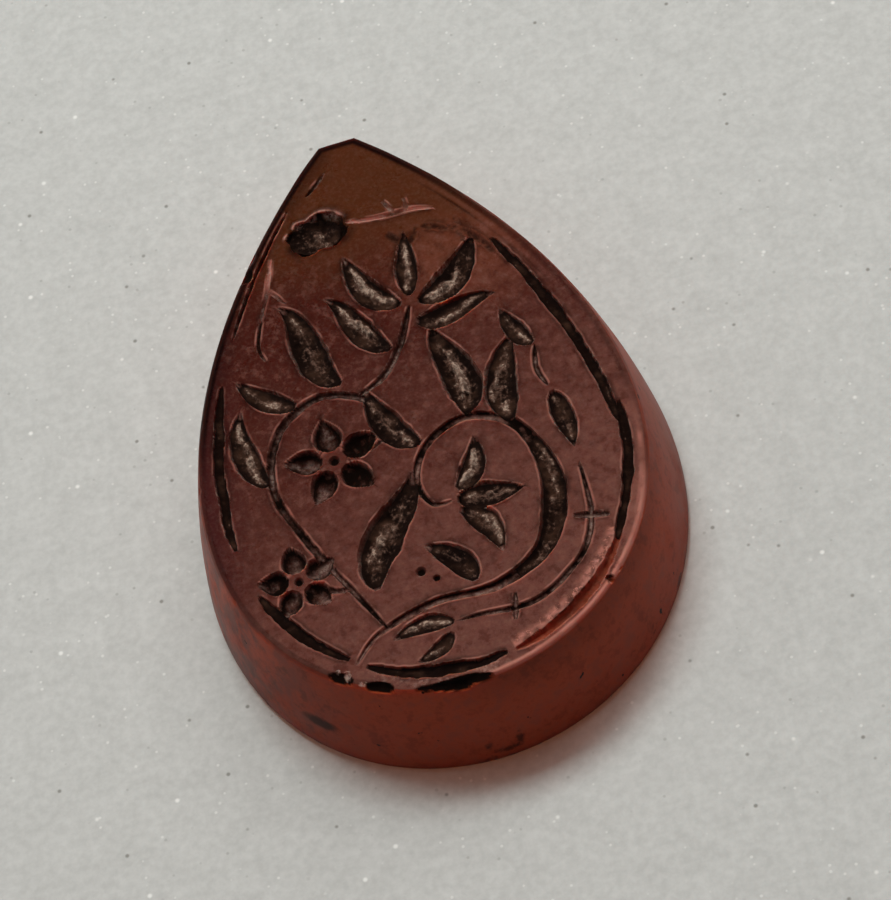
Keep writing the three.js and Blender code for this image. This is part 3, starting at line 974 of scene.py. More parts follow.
    def _carve_stroke(self, surface: Surface, stroke: Stroke, points: Array, fine: Array) -> None:
        """Lowers the surface under one stroke and marks its floor, walls, edges and lands.

        Args:
            surface: The surface so far, which is changed.
            stroke: The stroke to cut.
            points: The surface's places.
            fine: Fine noise at those places.
        """
        marks, lands, section = self.marks, stroke.lands, stroke.section
        near, gone, side = stroke.locate(points, self.land_reach + self.NEAR_MARGIN)
        if not len(near):
            return
        half = stroke.edge(gone, side)
        out = np.abs(side) - half
        off = np.abs(side) / np.maximum(half, self.LEAST_HALF)
        full = np.interp(gone, stroke.gone, stroke.depth)
        grain = fine[near]
        cut = full * np.clip(1 - off**section.power, 0.0, 1.0) ** section.bend
        cut += marks.floor_grain * full * grain * marks.floor.at(off) * (off < 1)
        real = marks.deep_enough.at(full)
        own_row = np.full(len(gone), float(stroke.seed))
        wander = self.grain.at(np.stack([gone, own_row], axis=1), self.WANDER_PER_MM, 2)
        # Painted highlight: a thin coral line along the cut's edges, brighter on the side towards the point.
        line = self._edge_glow(stroke, gone, side, out)
        land_stop = Ramp(self.land_reach, self.land_reach - marks.land_fade)
        inner_stop = Ramp(self.land_reach + marks.inner_more, marks.inner_stop)
        band = marks.land_start.at(out) * land_stop.at(out) * (side > 0)
        inner = marks.inner_start.at(out) * inner_stop.at(out) * (side < 0)
        coral = np.maximum(line * lands.edge, band * lands.rim_coral) * real
        coral = np.maximum(coral, inner * lands.inner_speckle * real * marks.speckle_light.at(grain))
        frost = band * lands.rim_frost * real * marks.rim_frost.at(grain, wander)
        deeper = (cut > surface.depth[near]) & (off < 1)
        index = near[deeper]
        surface.depth[index] = cut[deeper]
        dirt, pale, glow = self._floor_marks(stroke, off, grain, wander, full)
        surface.dirt[index] = dirt[deeper]
        surface.frost[index] = (pale * real)[deeper]
        surface.coral[index] = np.maximum(coral, glow)[deeper]
        surface.red[index] = float(stroke.fill is Fill.CLEAN)
        keep = (off >= 1) & (surface.depth[near] <= 0)
        flat = near[keep]
        speckle = inner * lands.inner_speckle * real
        smear_places = np.stack([gone, np.sign(side) * self.SMEAR_APART - stroke.seed], axis=1)
        smear = self.grain.at(smear_places, self.SMEAR_PER_MM, 3)
        stain = marks.stain.at(out) * real * marks.stain_patches.at(smear)
        for name, marked in (("coral", coral), ("frost", frost), ("speckle", speckle), ("shade", stain)):
            so_far = getattr(surface, name)
            so_far[flat] = np.maximum(so_far[flat], marked[keep])

    def _edge_glow(self, stroke: Stroke, gone: Array, side: Array, out: Array) -> Array:
        """How strong the painted highlight on a cut's thin edge is: broken along it, and brighter on the side
        towards the point.

        Args:
            stroke: The stroke.
            gone: Distance along its line.
            side: Distance to the left of its line.
            out: Distance outside its edge.

        Returns:
            The brightness, from 0 to 1.
        """
        marks = self.marks
        spots = np.stack([gone, np.sign(side) * self.GLOW_APART + stroke.seed], axis=1)
        broken = marks.glow_breaks.at(self.grain.at(spots, self.GLOW_PER_MM, 3))
        plain, more = marks.glow_facing
        facing = plain + more * np.interp(gone, stroke.gone, stroke.left[:, 1]) * np.sign(side)
        return marks.glow.at(out) * broken * facing

    def _floor_marks(
        self, stroke: Stroke, off: Array, grain: Array, wander: Array, full: Array
    ) -> tuple[Array, Array, Array]:
        """How a stroke's floor and walls look.

        Args:
            stroke: The stroke.
            off: Distance from the line as a share of the half width.
            grain: Fine noise at the same places.
            wander: Slow noise along the stroke.
            full: The stroke's full depth there.

        Returns:
            The dirt, the frost and the coral, from 0 to 1.
        """
        marks = self.marks
        wall = marks.wall.at(off)
        none = np.zeros(len(off))
        crest = marks.crest.at(off) * marks.crest_patches.at(grain, wander)
        # Dark floor near the walls: partly stain and partly painted shade in the narrow cut.
        stained = marks.stained_floor.at(off) * (1 - marks.crest_clean * crest)
        pale = marks.crest_pale * crest + wall * marks.wall_pale
        if stroke.fill is Fill.RESIDUE:
            ends = marks.bare_swell_ends if stroke.swell_filled else marks.bare_ends
            bare = ends.at(full / stroke.depth.max())
            under = wall * marks.residue_wall.at(none, wander)
            dirt = marks.residue_floor.at(off) * (1 - bare) + stained * bare
            glow = marks.residue_glow * bare * marks.residue_glow_floor.at(off)
            return dirt, under * (1 - bare) + pale * bare, glow
        if stroke.fill is Fill.CLEAN:
            dirt = marks.clean_dirt * marks.clean_floor.at(off) * marks.clean_patches.at(none, wander)
            return dirt, none, wall * marks.clean_wall
        if stroke.fill is Fill.WORN:
            return marks.worn_floor.at(off) * marks.worn_patches.at(grain, wander), none, none
        if stroke.fill is Fill.BARE:
            dirt = marks.bare_stain.at(grain, wander) * marks.bare_floor.at(off)
            dust = marks.bare_dust_floor.at(off) * marks.bare_dust.at(grain)
            return dirt, dust, marks.bare_glow_floor.at(off) * marks.bare_glow.at(none, wander)
        return stained, pale, none

    def _carve_pit(self, surface: Surface, points: Array, fine: Array) -> None:
        """Lowers the worn pit near the point, with a pale facet along its upper edge.

        Args:
            surface: The surface so far, which is changed.
            points: The surface's places.
            fine: Fine noise at those places.
        """
        pit = self.pit
        places = self.pit_places(points)
        angle = np.arctan2(places[:, 1], places[:, 0])
        ring = np.stack([np.cos(angle), np.sin(angle)], axis=1)
        off = np.linalg.norm(places, axis=1) / self._pit_edge(ring)
        rough = self.grain.at(points, self.ROUGH_PER_MM, 3)
        bowl = self.cuts.pit_depth * np.clip(1 - off**pit.power, 0.0, 1.0) ** pit.bend
        cut = bowl * (1 + pit.lumps * rough) + pit.grit_mm * fine
        cut = np.where(off < 1, np.maximum(cut, 0.0), 0.0)
        deeper = cut > surface.depth
        surface.depth[deeper] = cut[deeper]
        upper = pit.upper.at(places[:, 1])
        grit = self.grain.at(points, self.GRIT_PER_MM, 2)
        facet = upper * pit.facet.at(off) * pit.lump_shares.at(grit, rough)
        bare = upper * pit.bare.at(off) * pit.bare_patches.at(rough)
        surface.dirt[deeper] = (pit.dirt.at(off) * (1 - bare))[deeper]
        surface.frost[deeper] = (pit.bare_frost * bare)[deeper]
        surface.shade = np.maximum(surface.shade, pit.smear.at(off) * pit.smear_patches.at(rough))
        edged = np.maximum(surface.coral * (off >= 1), facet)
        surface.coral = np.where(off < pit.facet_end, edged, surface.coral)
        surface.frost = np.maximum(surface.frost, pit.facet_frost * facet)

    def mesh_places(self) -> Array:
        """The places that the face's mesh needs to show every cut cleanly, the most needed first."""
        along = self.step * self.ROW_STRETCH
        parts = [stroke.rows(along, self.EDGE_ROWS) for stroke in self.strokes]
        for stroke in self.strokes:
            wide = stroke.section is Section.GOUGE
            parts.append(stroke.rows(along, self.WIDE_ROWS if wide else self.SLIM_ROWS))
        banded = [stroke for stroke in self.strokes if stroke.lands != Lands()]
        parts += [stroke.rows(along, self.LAND_ROWS) for stroke in banded]
        parts += [self.pit_ring(circle(self.PIT_STEPS), share) for share in self.PIT_ROWS]
        for dot in DOTS:
            edge = circle(self.DOT_STEPS) * self.cuts.drill_diameter * dot.size / 2
            parts += [self.on_face(dot.at) + edge * share for share in self.DOT_ROWS]
        return np.concatenate(parts)


AT_ONCE = 4000


def spaced_out(places: Array, apart: float) -> Array:
    """Drops each place that falls in the same small cell as an earlier one, or right beside it.

    Args:
        places: The places, the most needed first.
        apart: The least distance between two that are kept.

    Returns:
        The places kept, in their order.
    """
    taken: dict[tuple[int, int], list[int]] = {}
    kept: list[int] = []
    around = [(i, j) for i in (-1, 0, 1) for j in (-1, 0, 1)]
    cells = np.floor(places / apart).astype(int)
    for index, (column, row) in enumerate(cells.tolist()):
        x, y = places[index]
        near = (places[other] for i, j in around for other in taken.get((column + i, row + j), ()))
        if all((other[0] - x) ** 2 + (other[1] - y) ** 2 >= apart * apart for other in near):
            taken.setdefault((column, row), []).append(index)
            kept.append(index)
    return places[kept]


def inside_ring(places: Array, ring: Array) -> Array:
    """Which places lie inside a ring.

    Args:
        places: The places.
        ring: The ring's corners.

    Returns:
        True for each place inside.
    """
    x, y = places[:, 0:1], places[:, 1:2]
    x0, y0 = ring[:, 0], ring[:, 1]
    x1, y1 = np.roll(x0, -1), np.roll(y0, -1)
    rise = np.where(y1 == y0, 1.0, y1 - y0)
    result = np.zeros(len(places), bool)
    for first in range(0, len(places), AT_ONCE):
        part = slice(first, first + AT_ONCE)
        spans = (y0 > y[part]) != (y1 > y[part])
        crossing = x[part] < (x1 - x0) * (y[part] - y0) / rise + x0
        result[part] = np.sum(spans & crossing, axis=1) % 2 == 1
    return result


def triangulate(ring: Array, inner: Array) -> list[tuple[int, int, int]]:
    """Triangles that fill a ring of corners through inner places.

    Args:
        ring: The corners, which come first in the numbering.
        inner: Places inside the ring, numbered after the corners.

    Returns:
        Triples of corner numbers.
    """
    fill_inside, same_place = 1, 1e-7
    places = [Vector(place) for place in np.concatenate([ring, inner])]
    edges = [(i, (i + 1) % len(ring)) for i in range(len(ring))]
    found = delaunay_2d_cdt(places, edges, [], fill_inside, same_place)
    numbers = [origin[0] for origin in found[3]]
    return [tuple(numbers[corner] for corner in face) for face in found[2]]


def make_object(name: str, places_mm: Array, faces: list, sharp_deg: float) -> bpy.types.Object:
    """A smooth-shaded mesh object with outward faces and sharp edges where it folds.

    Args:
        name: The object's name.
        places_mm: Its corners in millimetres.
        faces: Its faces as tuples of corner numbers.
        sharp_deg: The fold above which an edge is kept sharp.

    Returns:
        The object, linked to the scene.
    """
    mesh = bpy.data.meshes.new(name)
    mesh.from_pydata((places_mm * MM).tolist(), [], faces)
    shell = bmesh.new()
    shell.from_mesh(mesh)
    bmesh.ops.recalc_face_normals(shell, faces=shell.faces)
    shell.to_mesh(mesh)
    shell.free()
    mesh.polygons.foreach_set("use_smooth", np.ones(len(mesh.polygons), bool))
    mesh.set_sharp_from_angle(angle=math.radians(sharp_deg))
    piece = bpy.data.objects.new(name, mesh)
    bpy.context.scene.collection.objects.link(piece)
    return piece


def store_marks(piece: bpy.types.Object, name: str, values: Array) -> None:
    """Stores one number or three for each corner of a mesh, for its material to read.

    Args:
        piece: The mesh object.
        name: The attribute's name.
        values: One row for each corner.
    """
    kind = "FLOAT" if values.ndim == 1 else "FLOAT_VECTOR"
    attribute = piece.data.attributes.new(name, kind, "POINT")
    attribute.data.foreach_set("value" if values.ndim == 1 else "vector", values.astype(np.float32).ravel())


@dataclass(frozen=True)
class RimShade:
    """One band of painted shade along the rim: how far in and where round it lies, its strength and its
    depth.
    """

    inward: Ramp | Band
    around: Band
    strength: float
    depth: float
    broken: bool = False


@dataclass(frozen=True)
class RimMarks:
    """The painted highlight, painted light and painted shade in bands along the worn rim.

    Bands named for a side run over shares of a turn from the point, and the others over millimetres inwards.
    """

    top: float = 0.16
    face: float = 0.1
    hidden_by_dirt: float = 1.5
    right: Band = Band.evenly(0.3, 0.35)
    low_right: Band = Band.evenly(0.345, 0.5)
    upper_right: Band = Band.evenly(0.125, 0.2, 0.02)
    breaks: Patchy = Patchy(0.7, 0.6)
    # The worn round of the rim bears a painted highlight, strongest at the lower right, as does the ridge
    # inside it at the right.
    worn: Band = Band((-0.06, 0.0), (0.16, 0.09))
    worn_patches: Patchy = Patchy(0.9, 0.5)
    worn_usual: float = 0.04
    worn_low_right: float = 1.1
    ridge: Band = Band((0.08, 0.14), (0.3, 0.24))
    ridge_patches: Patchy = Patchy(0.5, 0.9)
    ridge_light: float = 0.75
    lit: Band = Band((0.3, 0.35), (0.48, 0.42))
    lit_light: float = 0.07
    near_side: Band = Band.evenly(0.3, 0.74)
    paler_right: tuple[tuple[float, Band], ...] = (
        (0.33, Band.evenly(0.12, 0.35)),
        (0.27, Band.evenly(0.175, 0.35)),
    )
    # painted shade: a dark band along the far edges, weaker at the right
    far: Ramp = Ramp(0.34, 0.2)
    far_depths: Share = (0.5, 0.12)
    far_patches: Patchy = Patchy(1.1, 0.3)
    shades: tuple[RimShade, ...] = (
        RimShade(Ramp(0.24, 0.15), Band.evenly(0.56, 0.74), 0.45, 0.16),
        RimShade(Ramp(0.08, 0.03), Band.evenly(0.3, 0.35), 0.75, 0.16),
        RimShade(Ramp(0.95, 0.3), Band.evenly(0.76, 0.97), 0.4, 0.1),
        RimShade(Band((0.46, 0.51), (0.6, 0.55)), Band.evenly(0.125, 0.2, 0.02), 0.75, 0.1, True),
    )
    outside: float = 0.02
    under: Band = Band((0.08, 0.2), (1.6, 0.3))
    under_side: Band = Band.evenly(0.3, 0.5)
    under_shade: float = 0.3


@dataclass
class SealStone:
    """The stone itself: a back, a flared wall, a worn rim and the engraved face, as one closed mesh."""

    outline: PearOutline
    engraving: Engraving
    rim: RimMarks = RimMarks()
    spacing: float = 0.075
    least_apart: float = 0.028
    sharp_deg: float = 38.0
    red_share: float = 0.55
    wall_waves: float = 0.012
    face_waves: float = 0.004
    chip_ragged: float = 0.22
    seed: int = 17
    grain: Grain = field(init=False)

    TOP_ROWS = (0.05, 0.11, 0.18, 0.26, 0.36, 0.48, 0.62, 0.8)
    RIM_ROWS = (0.17, 0.23, 0.29, 0.35, 0.41, 0.47, 0.53, 0.59)
    RIM_SHARES = (0.0, 0.33, 0.68, 1.0)
    RIM_WEAR = Patchy(0.85, 0.35, 1.6, 0.45, 2.0)
    NICKS_APART = 40.0
    NICKS_ABOVE = 0.55
    WALL_ROWS = 9
    BACK_STEPS = 6
    GRID = 0.36
    GRID_ROW_SHARE = 0.87
    RIM_MARGIN = 0.6
    CHIP_PUSH = (0.0, -0.7, -0.7)
    CHIP_MARK = Ramp(1.06, 0.92)

    def __post_init__(self) -> None:
        """Seeds the stone's unevenness."""
        self.grain = Grain(self.seed)

    def build(self) -> bpy.types.Object:
        """Builds the mesh and its marks.

        Returns:
            The stone's object.
        """
        ring, turns = self.outline.walk(self.spacing)
        grow = mitres(ring)
        levels = self._levels(ring, grow)
        wall = np.concatenate(levels)
        rim, foot = levels[-1][:, :2], levels[0][:, :2]
        face_inner = self._face_places(rim, ring, grow)
        back_inner = self._grid(foot, self.GRID * 2, self.GRID)
        count = len(ring)
        surface = self.engraving.carve(np.concatenate([rim, face_inner]))
        face = np.column_stack([face_inner, self._face_height(face_inner) - surface.depth[count:]])
        back = np.column_stack([back_inner, np.zeros(len(back_inner))])
        places = np.concatenate([wall, face, back])
        faces = self._faces(levels, face_inner, back_inner)
        marks = np.zeros((len(places), 3))
        tints = np.zeros((len(places), 3))
        top = slice((len(levels) - 1) * count, len(wall) + len(face))
        marks[top] = np.stack([surface.dirt, surface.frost, surface.coral], axis=1)
        tints[: (len(levels) - 2) * count, 2] = 1.0
        tints[top] = np.stack([surface.shade, surface.speckle, self.red_share * surface.red], axis=1)
        self._mark_rim(places, marks, tints, ring, turns)
        places, marks = self._chip(places, marks)
        piece = make_object("seal_stone", places, faces, self.sharp_deg)
        store_marks(piece, "marks", marks)
        store_marks(piece, "tints", tints)
        return piece

    def _mark_rim(
        self, places: Array, marks: Array, tints: Array, ring: Array, turns: Array
    ) -> None:
        """Paints a highlight on the worn rim and painted shade in dark bands along it, with painted light in
        a pale band inside it.

        Args:
            places: The mesh's corners.
            marks: Their dirt, frost and coral, which are changed.
            tints: Their shade and speckle, which are changed.
            ring: The face's outline.
            turns: The angle of each of its corners.
        """
        rim, sizes = self.rim, self.outline.sizes
        inward, around = self._from_rim(places, ring, turns)
        level, height = places[:, 2], sizes.height
        rough = self.grain.at(places, 1.3, 3)
        along = np.column_stack([around * sizes.face_length * 3, np.zeros((len(places), 1))])
        broken = rim.breaks.at(self.grain.at(along, 0.7, 3))
        plain = 1 - np.clip(marks[:, 0] * rim.hidden_by_dirt, 0.0, 1.0)
        top, right = level > height - rim.top, rim.right.at(around)
        # Painted highlight in coral on the worn round of the rim, strongest at the lower right, and on the
        # ridge inside it at the right.
        worn = rim.worn.at(inward) * top * rim.worn_patches.at(rough)
        ridge = rim.ridge.at(inward) * top * rim.ridge_patches.at(rough)
        bright = worn * (rim.worn_usual + rim.worn_low_right * rim.low_right.at(around))
        bright += ridge * right * rim.ridge_light
        marks[:, 2] = np.maximum(marks[:, 2], bright * plain)
        lit = rim.lit_light * rim.lit.at(inward) * (level > height - rim.face) * rim.upper_right.at(around)
        marks[:, 2] = np.maximum(marks[:, 2], lit * plain * broken)
        # Painted shade: a dark band along the far edges, the bands of the shades table, and a band on the
        # wall under the rim at the lower right.
        far = 1 - rim.near_side.at(around)
        far *= 1 - sum(share * band.at(around) for share, band in rim.paler_right)
        fading = ease(*(height - depth for depth in rim.far_depths), level)
        shade = rim.far.at(inward) * fading * far * rim.far_patches.at(rough)
        for band in rim.shades:
            part = band.strength * band.inward.at(inward) * band.around.at(around)
            part *= level > height - band.depth
            shade = np.maximum(shade, part * broken if band.broken else part)
        tints[:, 0] = np.maximum(tints[:, 0], shade) * plain
        under = rim.under.at((height - level) * (inward < rim.outside)) * rim.under_side.at(around)
        tints[:, 0] = np.maximum(tints[:, 0], rim.under_shade * under)

    def _levels(self, ring: Array, grow: Array) -> list[Array]:
        """The wall's rings from the back's edge up to the face's edge.

        Args:
            ring: The face's outline.
            grow: The way each corner moves when the outline grows by one millimetre.

        Returns:
            The rings' corners.
        """
        sizes = self.outline.sizes
        levels: list[Array] = []

        def level(outset: Array | float, height: Array | float) -> None:
            """Adds one ring."""
            flat = ring + grow * (np.zeros(len(ring)) + outset)[:, None]
            levels.append(np.column_stack([flat, np.zeros(len(ring)) + height]))

        wear = self._rim_wear(ring)
        for step in range(self.BACK_STEPS + 1):
            angle = math.pi / 2 * step / self.BACK_STEPS
            inset = sizes.back_round * (1 - math.sin(angle))
            level(sizes.flare - inset, sizes.back_round * (1 - math.cos(angle)))
        reach = sizes.height - sizes.back_round
        tops = [sizes.height - sizes.rim_round - row for row in self.TOP_ROWS]
        lows = np.linspace(sizes.back_round, tops[-1], self.WALL_ROWS + 1)[1:]
        for height in [*lows, *reversed(tops[:-1])]:
            up = (height - sizes.back_round) / reach
            bow = math.sin(math.pi * up)
            places = np.column_stack([ring, np.full(len(ring), height)])
            uneven = self.wall_waves * self.grain.at(places, 0.5, 2) * bow
            level(sizes.flare * (1 - up) + sizes.belly * bow + uneven, height)
        for share in self.RIM_SHARES:
            angle = math.pi / 2 * share
            level(-wear * (1 - math.cos(angle)), sizes.height - wear * (1 - math.sin(angle)))
        return levels

    def _rim_wear(self, ring: Array) -> Array:
        """How far the rim's edge is worn round at each corner of the outline."""
        nicks = np.clip(self.grain.at(ring + self.NICKS_APART, 2.6, 2) - self.NICKS_ABOVE, 0.0, 1.0)
        return self.outline.sizes.rim_round * self.RIM_WEAR.at(self.grain.at(ring, 0.7, 2), nicks)

    def _grid(self, ring: Array, spacing: float, margin: float) -> Array:
        """Staggered places inside a ring.

        Args:
            ring: The ring's corners.
            spacing: The distance between neighbours in a row.
            margin: How far they stay from the ring.

        Returns:
            The places.
        """
        low, high = ring.min(axis=0), ring.max(axis=0)
        xs = np.arange(low[0], high[0], spacing)
        ys = np.arange(low[1], high[1], spacing * self.GRID_ROW_SHARE)
        places = np.stack(np.meshgrid(xs, ys), axis=-1)
        places[1::2, :, 0] += spacing / 2
        places = places.reshape(-1, 2)
        return places[inside_ring(places, ring - mitres(ring) * margin)]

    def _face_places(self, rim: Array, ring: Array, grow: Array) -> Array:
        """All places of the face's mesh inside the rim.

        Args:
            rim: The worn rim's innermost ring.
            ring: The face's outline.
            grow: The way each corner of the outline moves when it grows by one millimetre.

        Returns:
            The places, the most needed first.
        """
        near_rim = [ring - grow * inset for inset in self.RIM_ROWS]
        grid = self._grid(rim, self.GRID, self.GRID)
        places = np.concatenate([self.engraving.mesh_places(), *near_rim, grid])
        shrunk = rim - mitres(rim) * self.spacing * self.RIM_MARGIN
        return spaced_out(places[inside_ring(places, shrunk)], self.least_apart)

    def _face_height(self, places: Array) -> Array:
        """The polished face before it is cut, flat but for a breath of unevenness."""
        return self.outline.sizes.height - self.face_waves + self.face_waves * self.grain.at(places, 0.22)

    def _faces(self, levels: list[Array], face_inner: Array, back_inner: Array) -> list[tuple[int, ...]]:
        """The mesh's faces: the wall's, the engraved face's and the back's.

        Args:
            levels: The wall's rings.
            face_inner: The face's places inside the top ring.
            back_inner: The back's places inside the bottom ring.

        Returns:
            The faces' corner numbers.
        """
        count = len(levels[0])
        faces: list[tuple[int, ...]] = []
        for start in range(0, (len(levels) - 1) * count, count):
            for i in range(count):
                j = (i + 1) % count
                faces.append((start + i, start + j, start + count + j, start + count + i))
        top, inner = (len(levels) - 1) * count, len(levels) * count
        for start, ring, places in ((top, levels[-1], face_inner), (0, levels[0], back_inner)):
            for triangle in triangulate(ring[:, :2], places):
                faces.append(tuple(start + c if c < count else inner + c - count for c in triangle))
            inner += len(places)
        return faces

    def _chip(self, places: Array, marks: Array) -> tuple[Array, Array]:
        """Scoops the chips out of the rim and marks their floors.

        Args:
            places: The mesh's corners.
            marks: Their dirt, frost and coral, which are changed.

        Returns:
            The corners after chipping, and the marks.
        """
        cuts, height = self.engraving.cuts, self.outline.sizes.height
        push = np.array(self.CHIP_PUSH)
        push = push / np.linalg.norm(push)
        for chip in CHIPS:
            turn = np.array([TURN * chip.around])
            normal = self.outline.normals(turn)[0]
            corner = np.array([*self.outline.points(turn)[0], height])
            axes = np.array([[-normal[1], normal[0], 0.0], [normal[0], normal[1], 0.0], [0.0, 0.0, 1.0]])
            radii = np.array([chip.length, chip.width, 0.0]) * cuts.chip_length / 2
            radii[2] = cuts.chip_depth * chip.depth
            local = (places - corner) @ axes.T
            rough = 1 + self.chip_ragged * self.grain.at(places, 2.2, 2)
            scaled = local / (radii * rough[:, None])
            away = np.linalg.norm(scaled, axis=1)
            along = scaled @ push
            travel = -along + np.sqrt(np.clip(along**2 - away**2 + 1, 0.0, None))
            moved = away < 1
            scaled[moved] += travel[moved, None] * push
            local[moved] = (scaled * radii * rough[:, None])[moved]
            places = np.where(moved[:, None], corner + local @ axes, places)
            tint = self.CHIP_MARK.at(away)
            marks[:, 0] = np.maximum(marks[:, 0] * (1 - tint), tint * chip.dirt)
            marks[:, 1] = np.maximum(marks[:, 1] * (1 - tint), tint * chip.frost)
            marks[:, 2] *= 1 - tint
        return places, marks

    def _from_rim(self, places: Array, ring: Array, turns: Array) -> tuple[Array, Array]:
        """How far in from the outline each corner lies, and where round the outline.

        Args:
            places: The mesh's corners.
            ring: The face's outline.
            turns: The angle of each of its corners.

        Returns:
            Millimetres inwards, below zero outside, and shares of a turn clockwise from the point.
        """
        inward = np.zeros(len(places))
        around = np.zeros(len(places))
        out = mitres(ring)
        for first in range(0, len(places), AT_ONCE):
            part = slice(first, first + AT_ONCE)
            offset = places[part, None, :2] - ring[None]
            nearest = np.linalg.norm(offset, axis=2).argmin(axis=1)
            step = offset[np.arange(len(nearest)), nearest]
            inward[part] = -np.sum(step * out[nearest], axis=1)
            around[part] = turns[nearest] / TURN
        return inward, around


@dataclass
class Bed:
    """Where a crust lies, as one value for each place of a grid in its cut.

    The flow is the distance along and across the cut, which its streaks follow.
    """

    name: str
    spots: Array
    shape: Array
    full: Array
    ridge: Array
    flow: Array
    counts: tuple[int, int]
    paler: float = 0.0
    fuller: float = 1.0


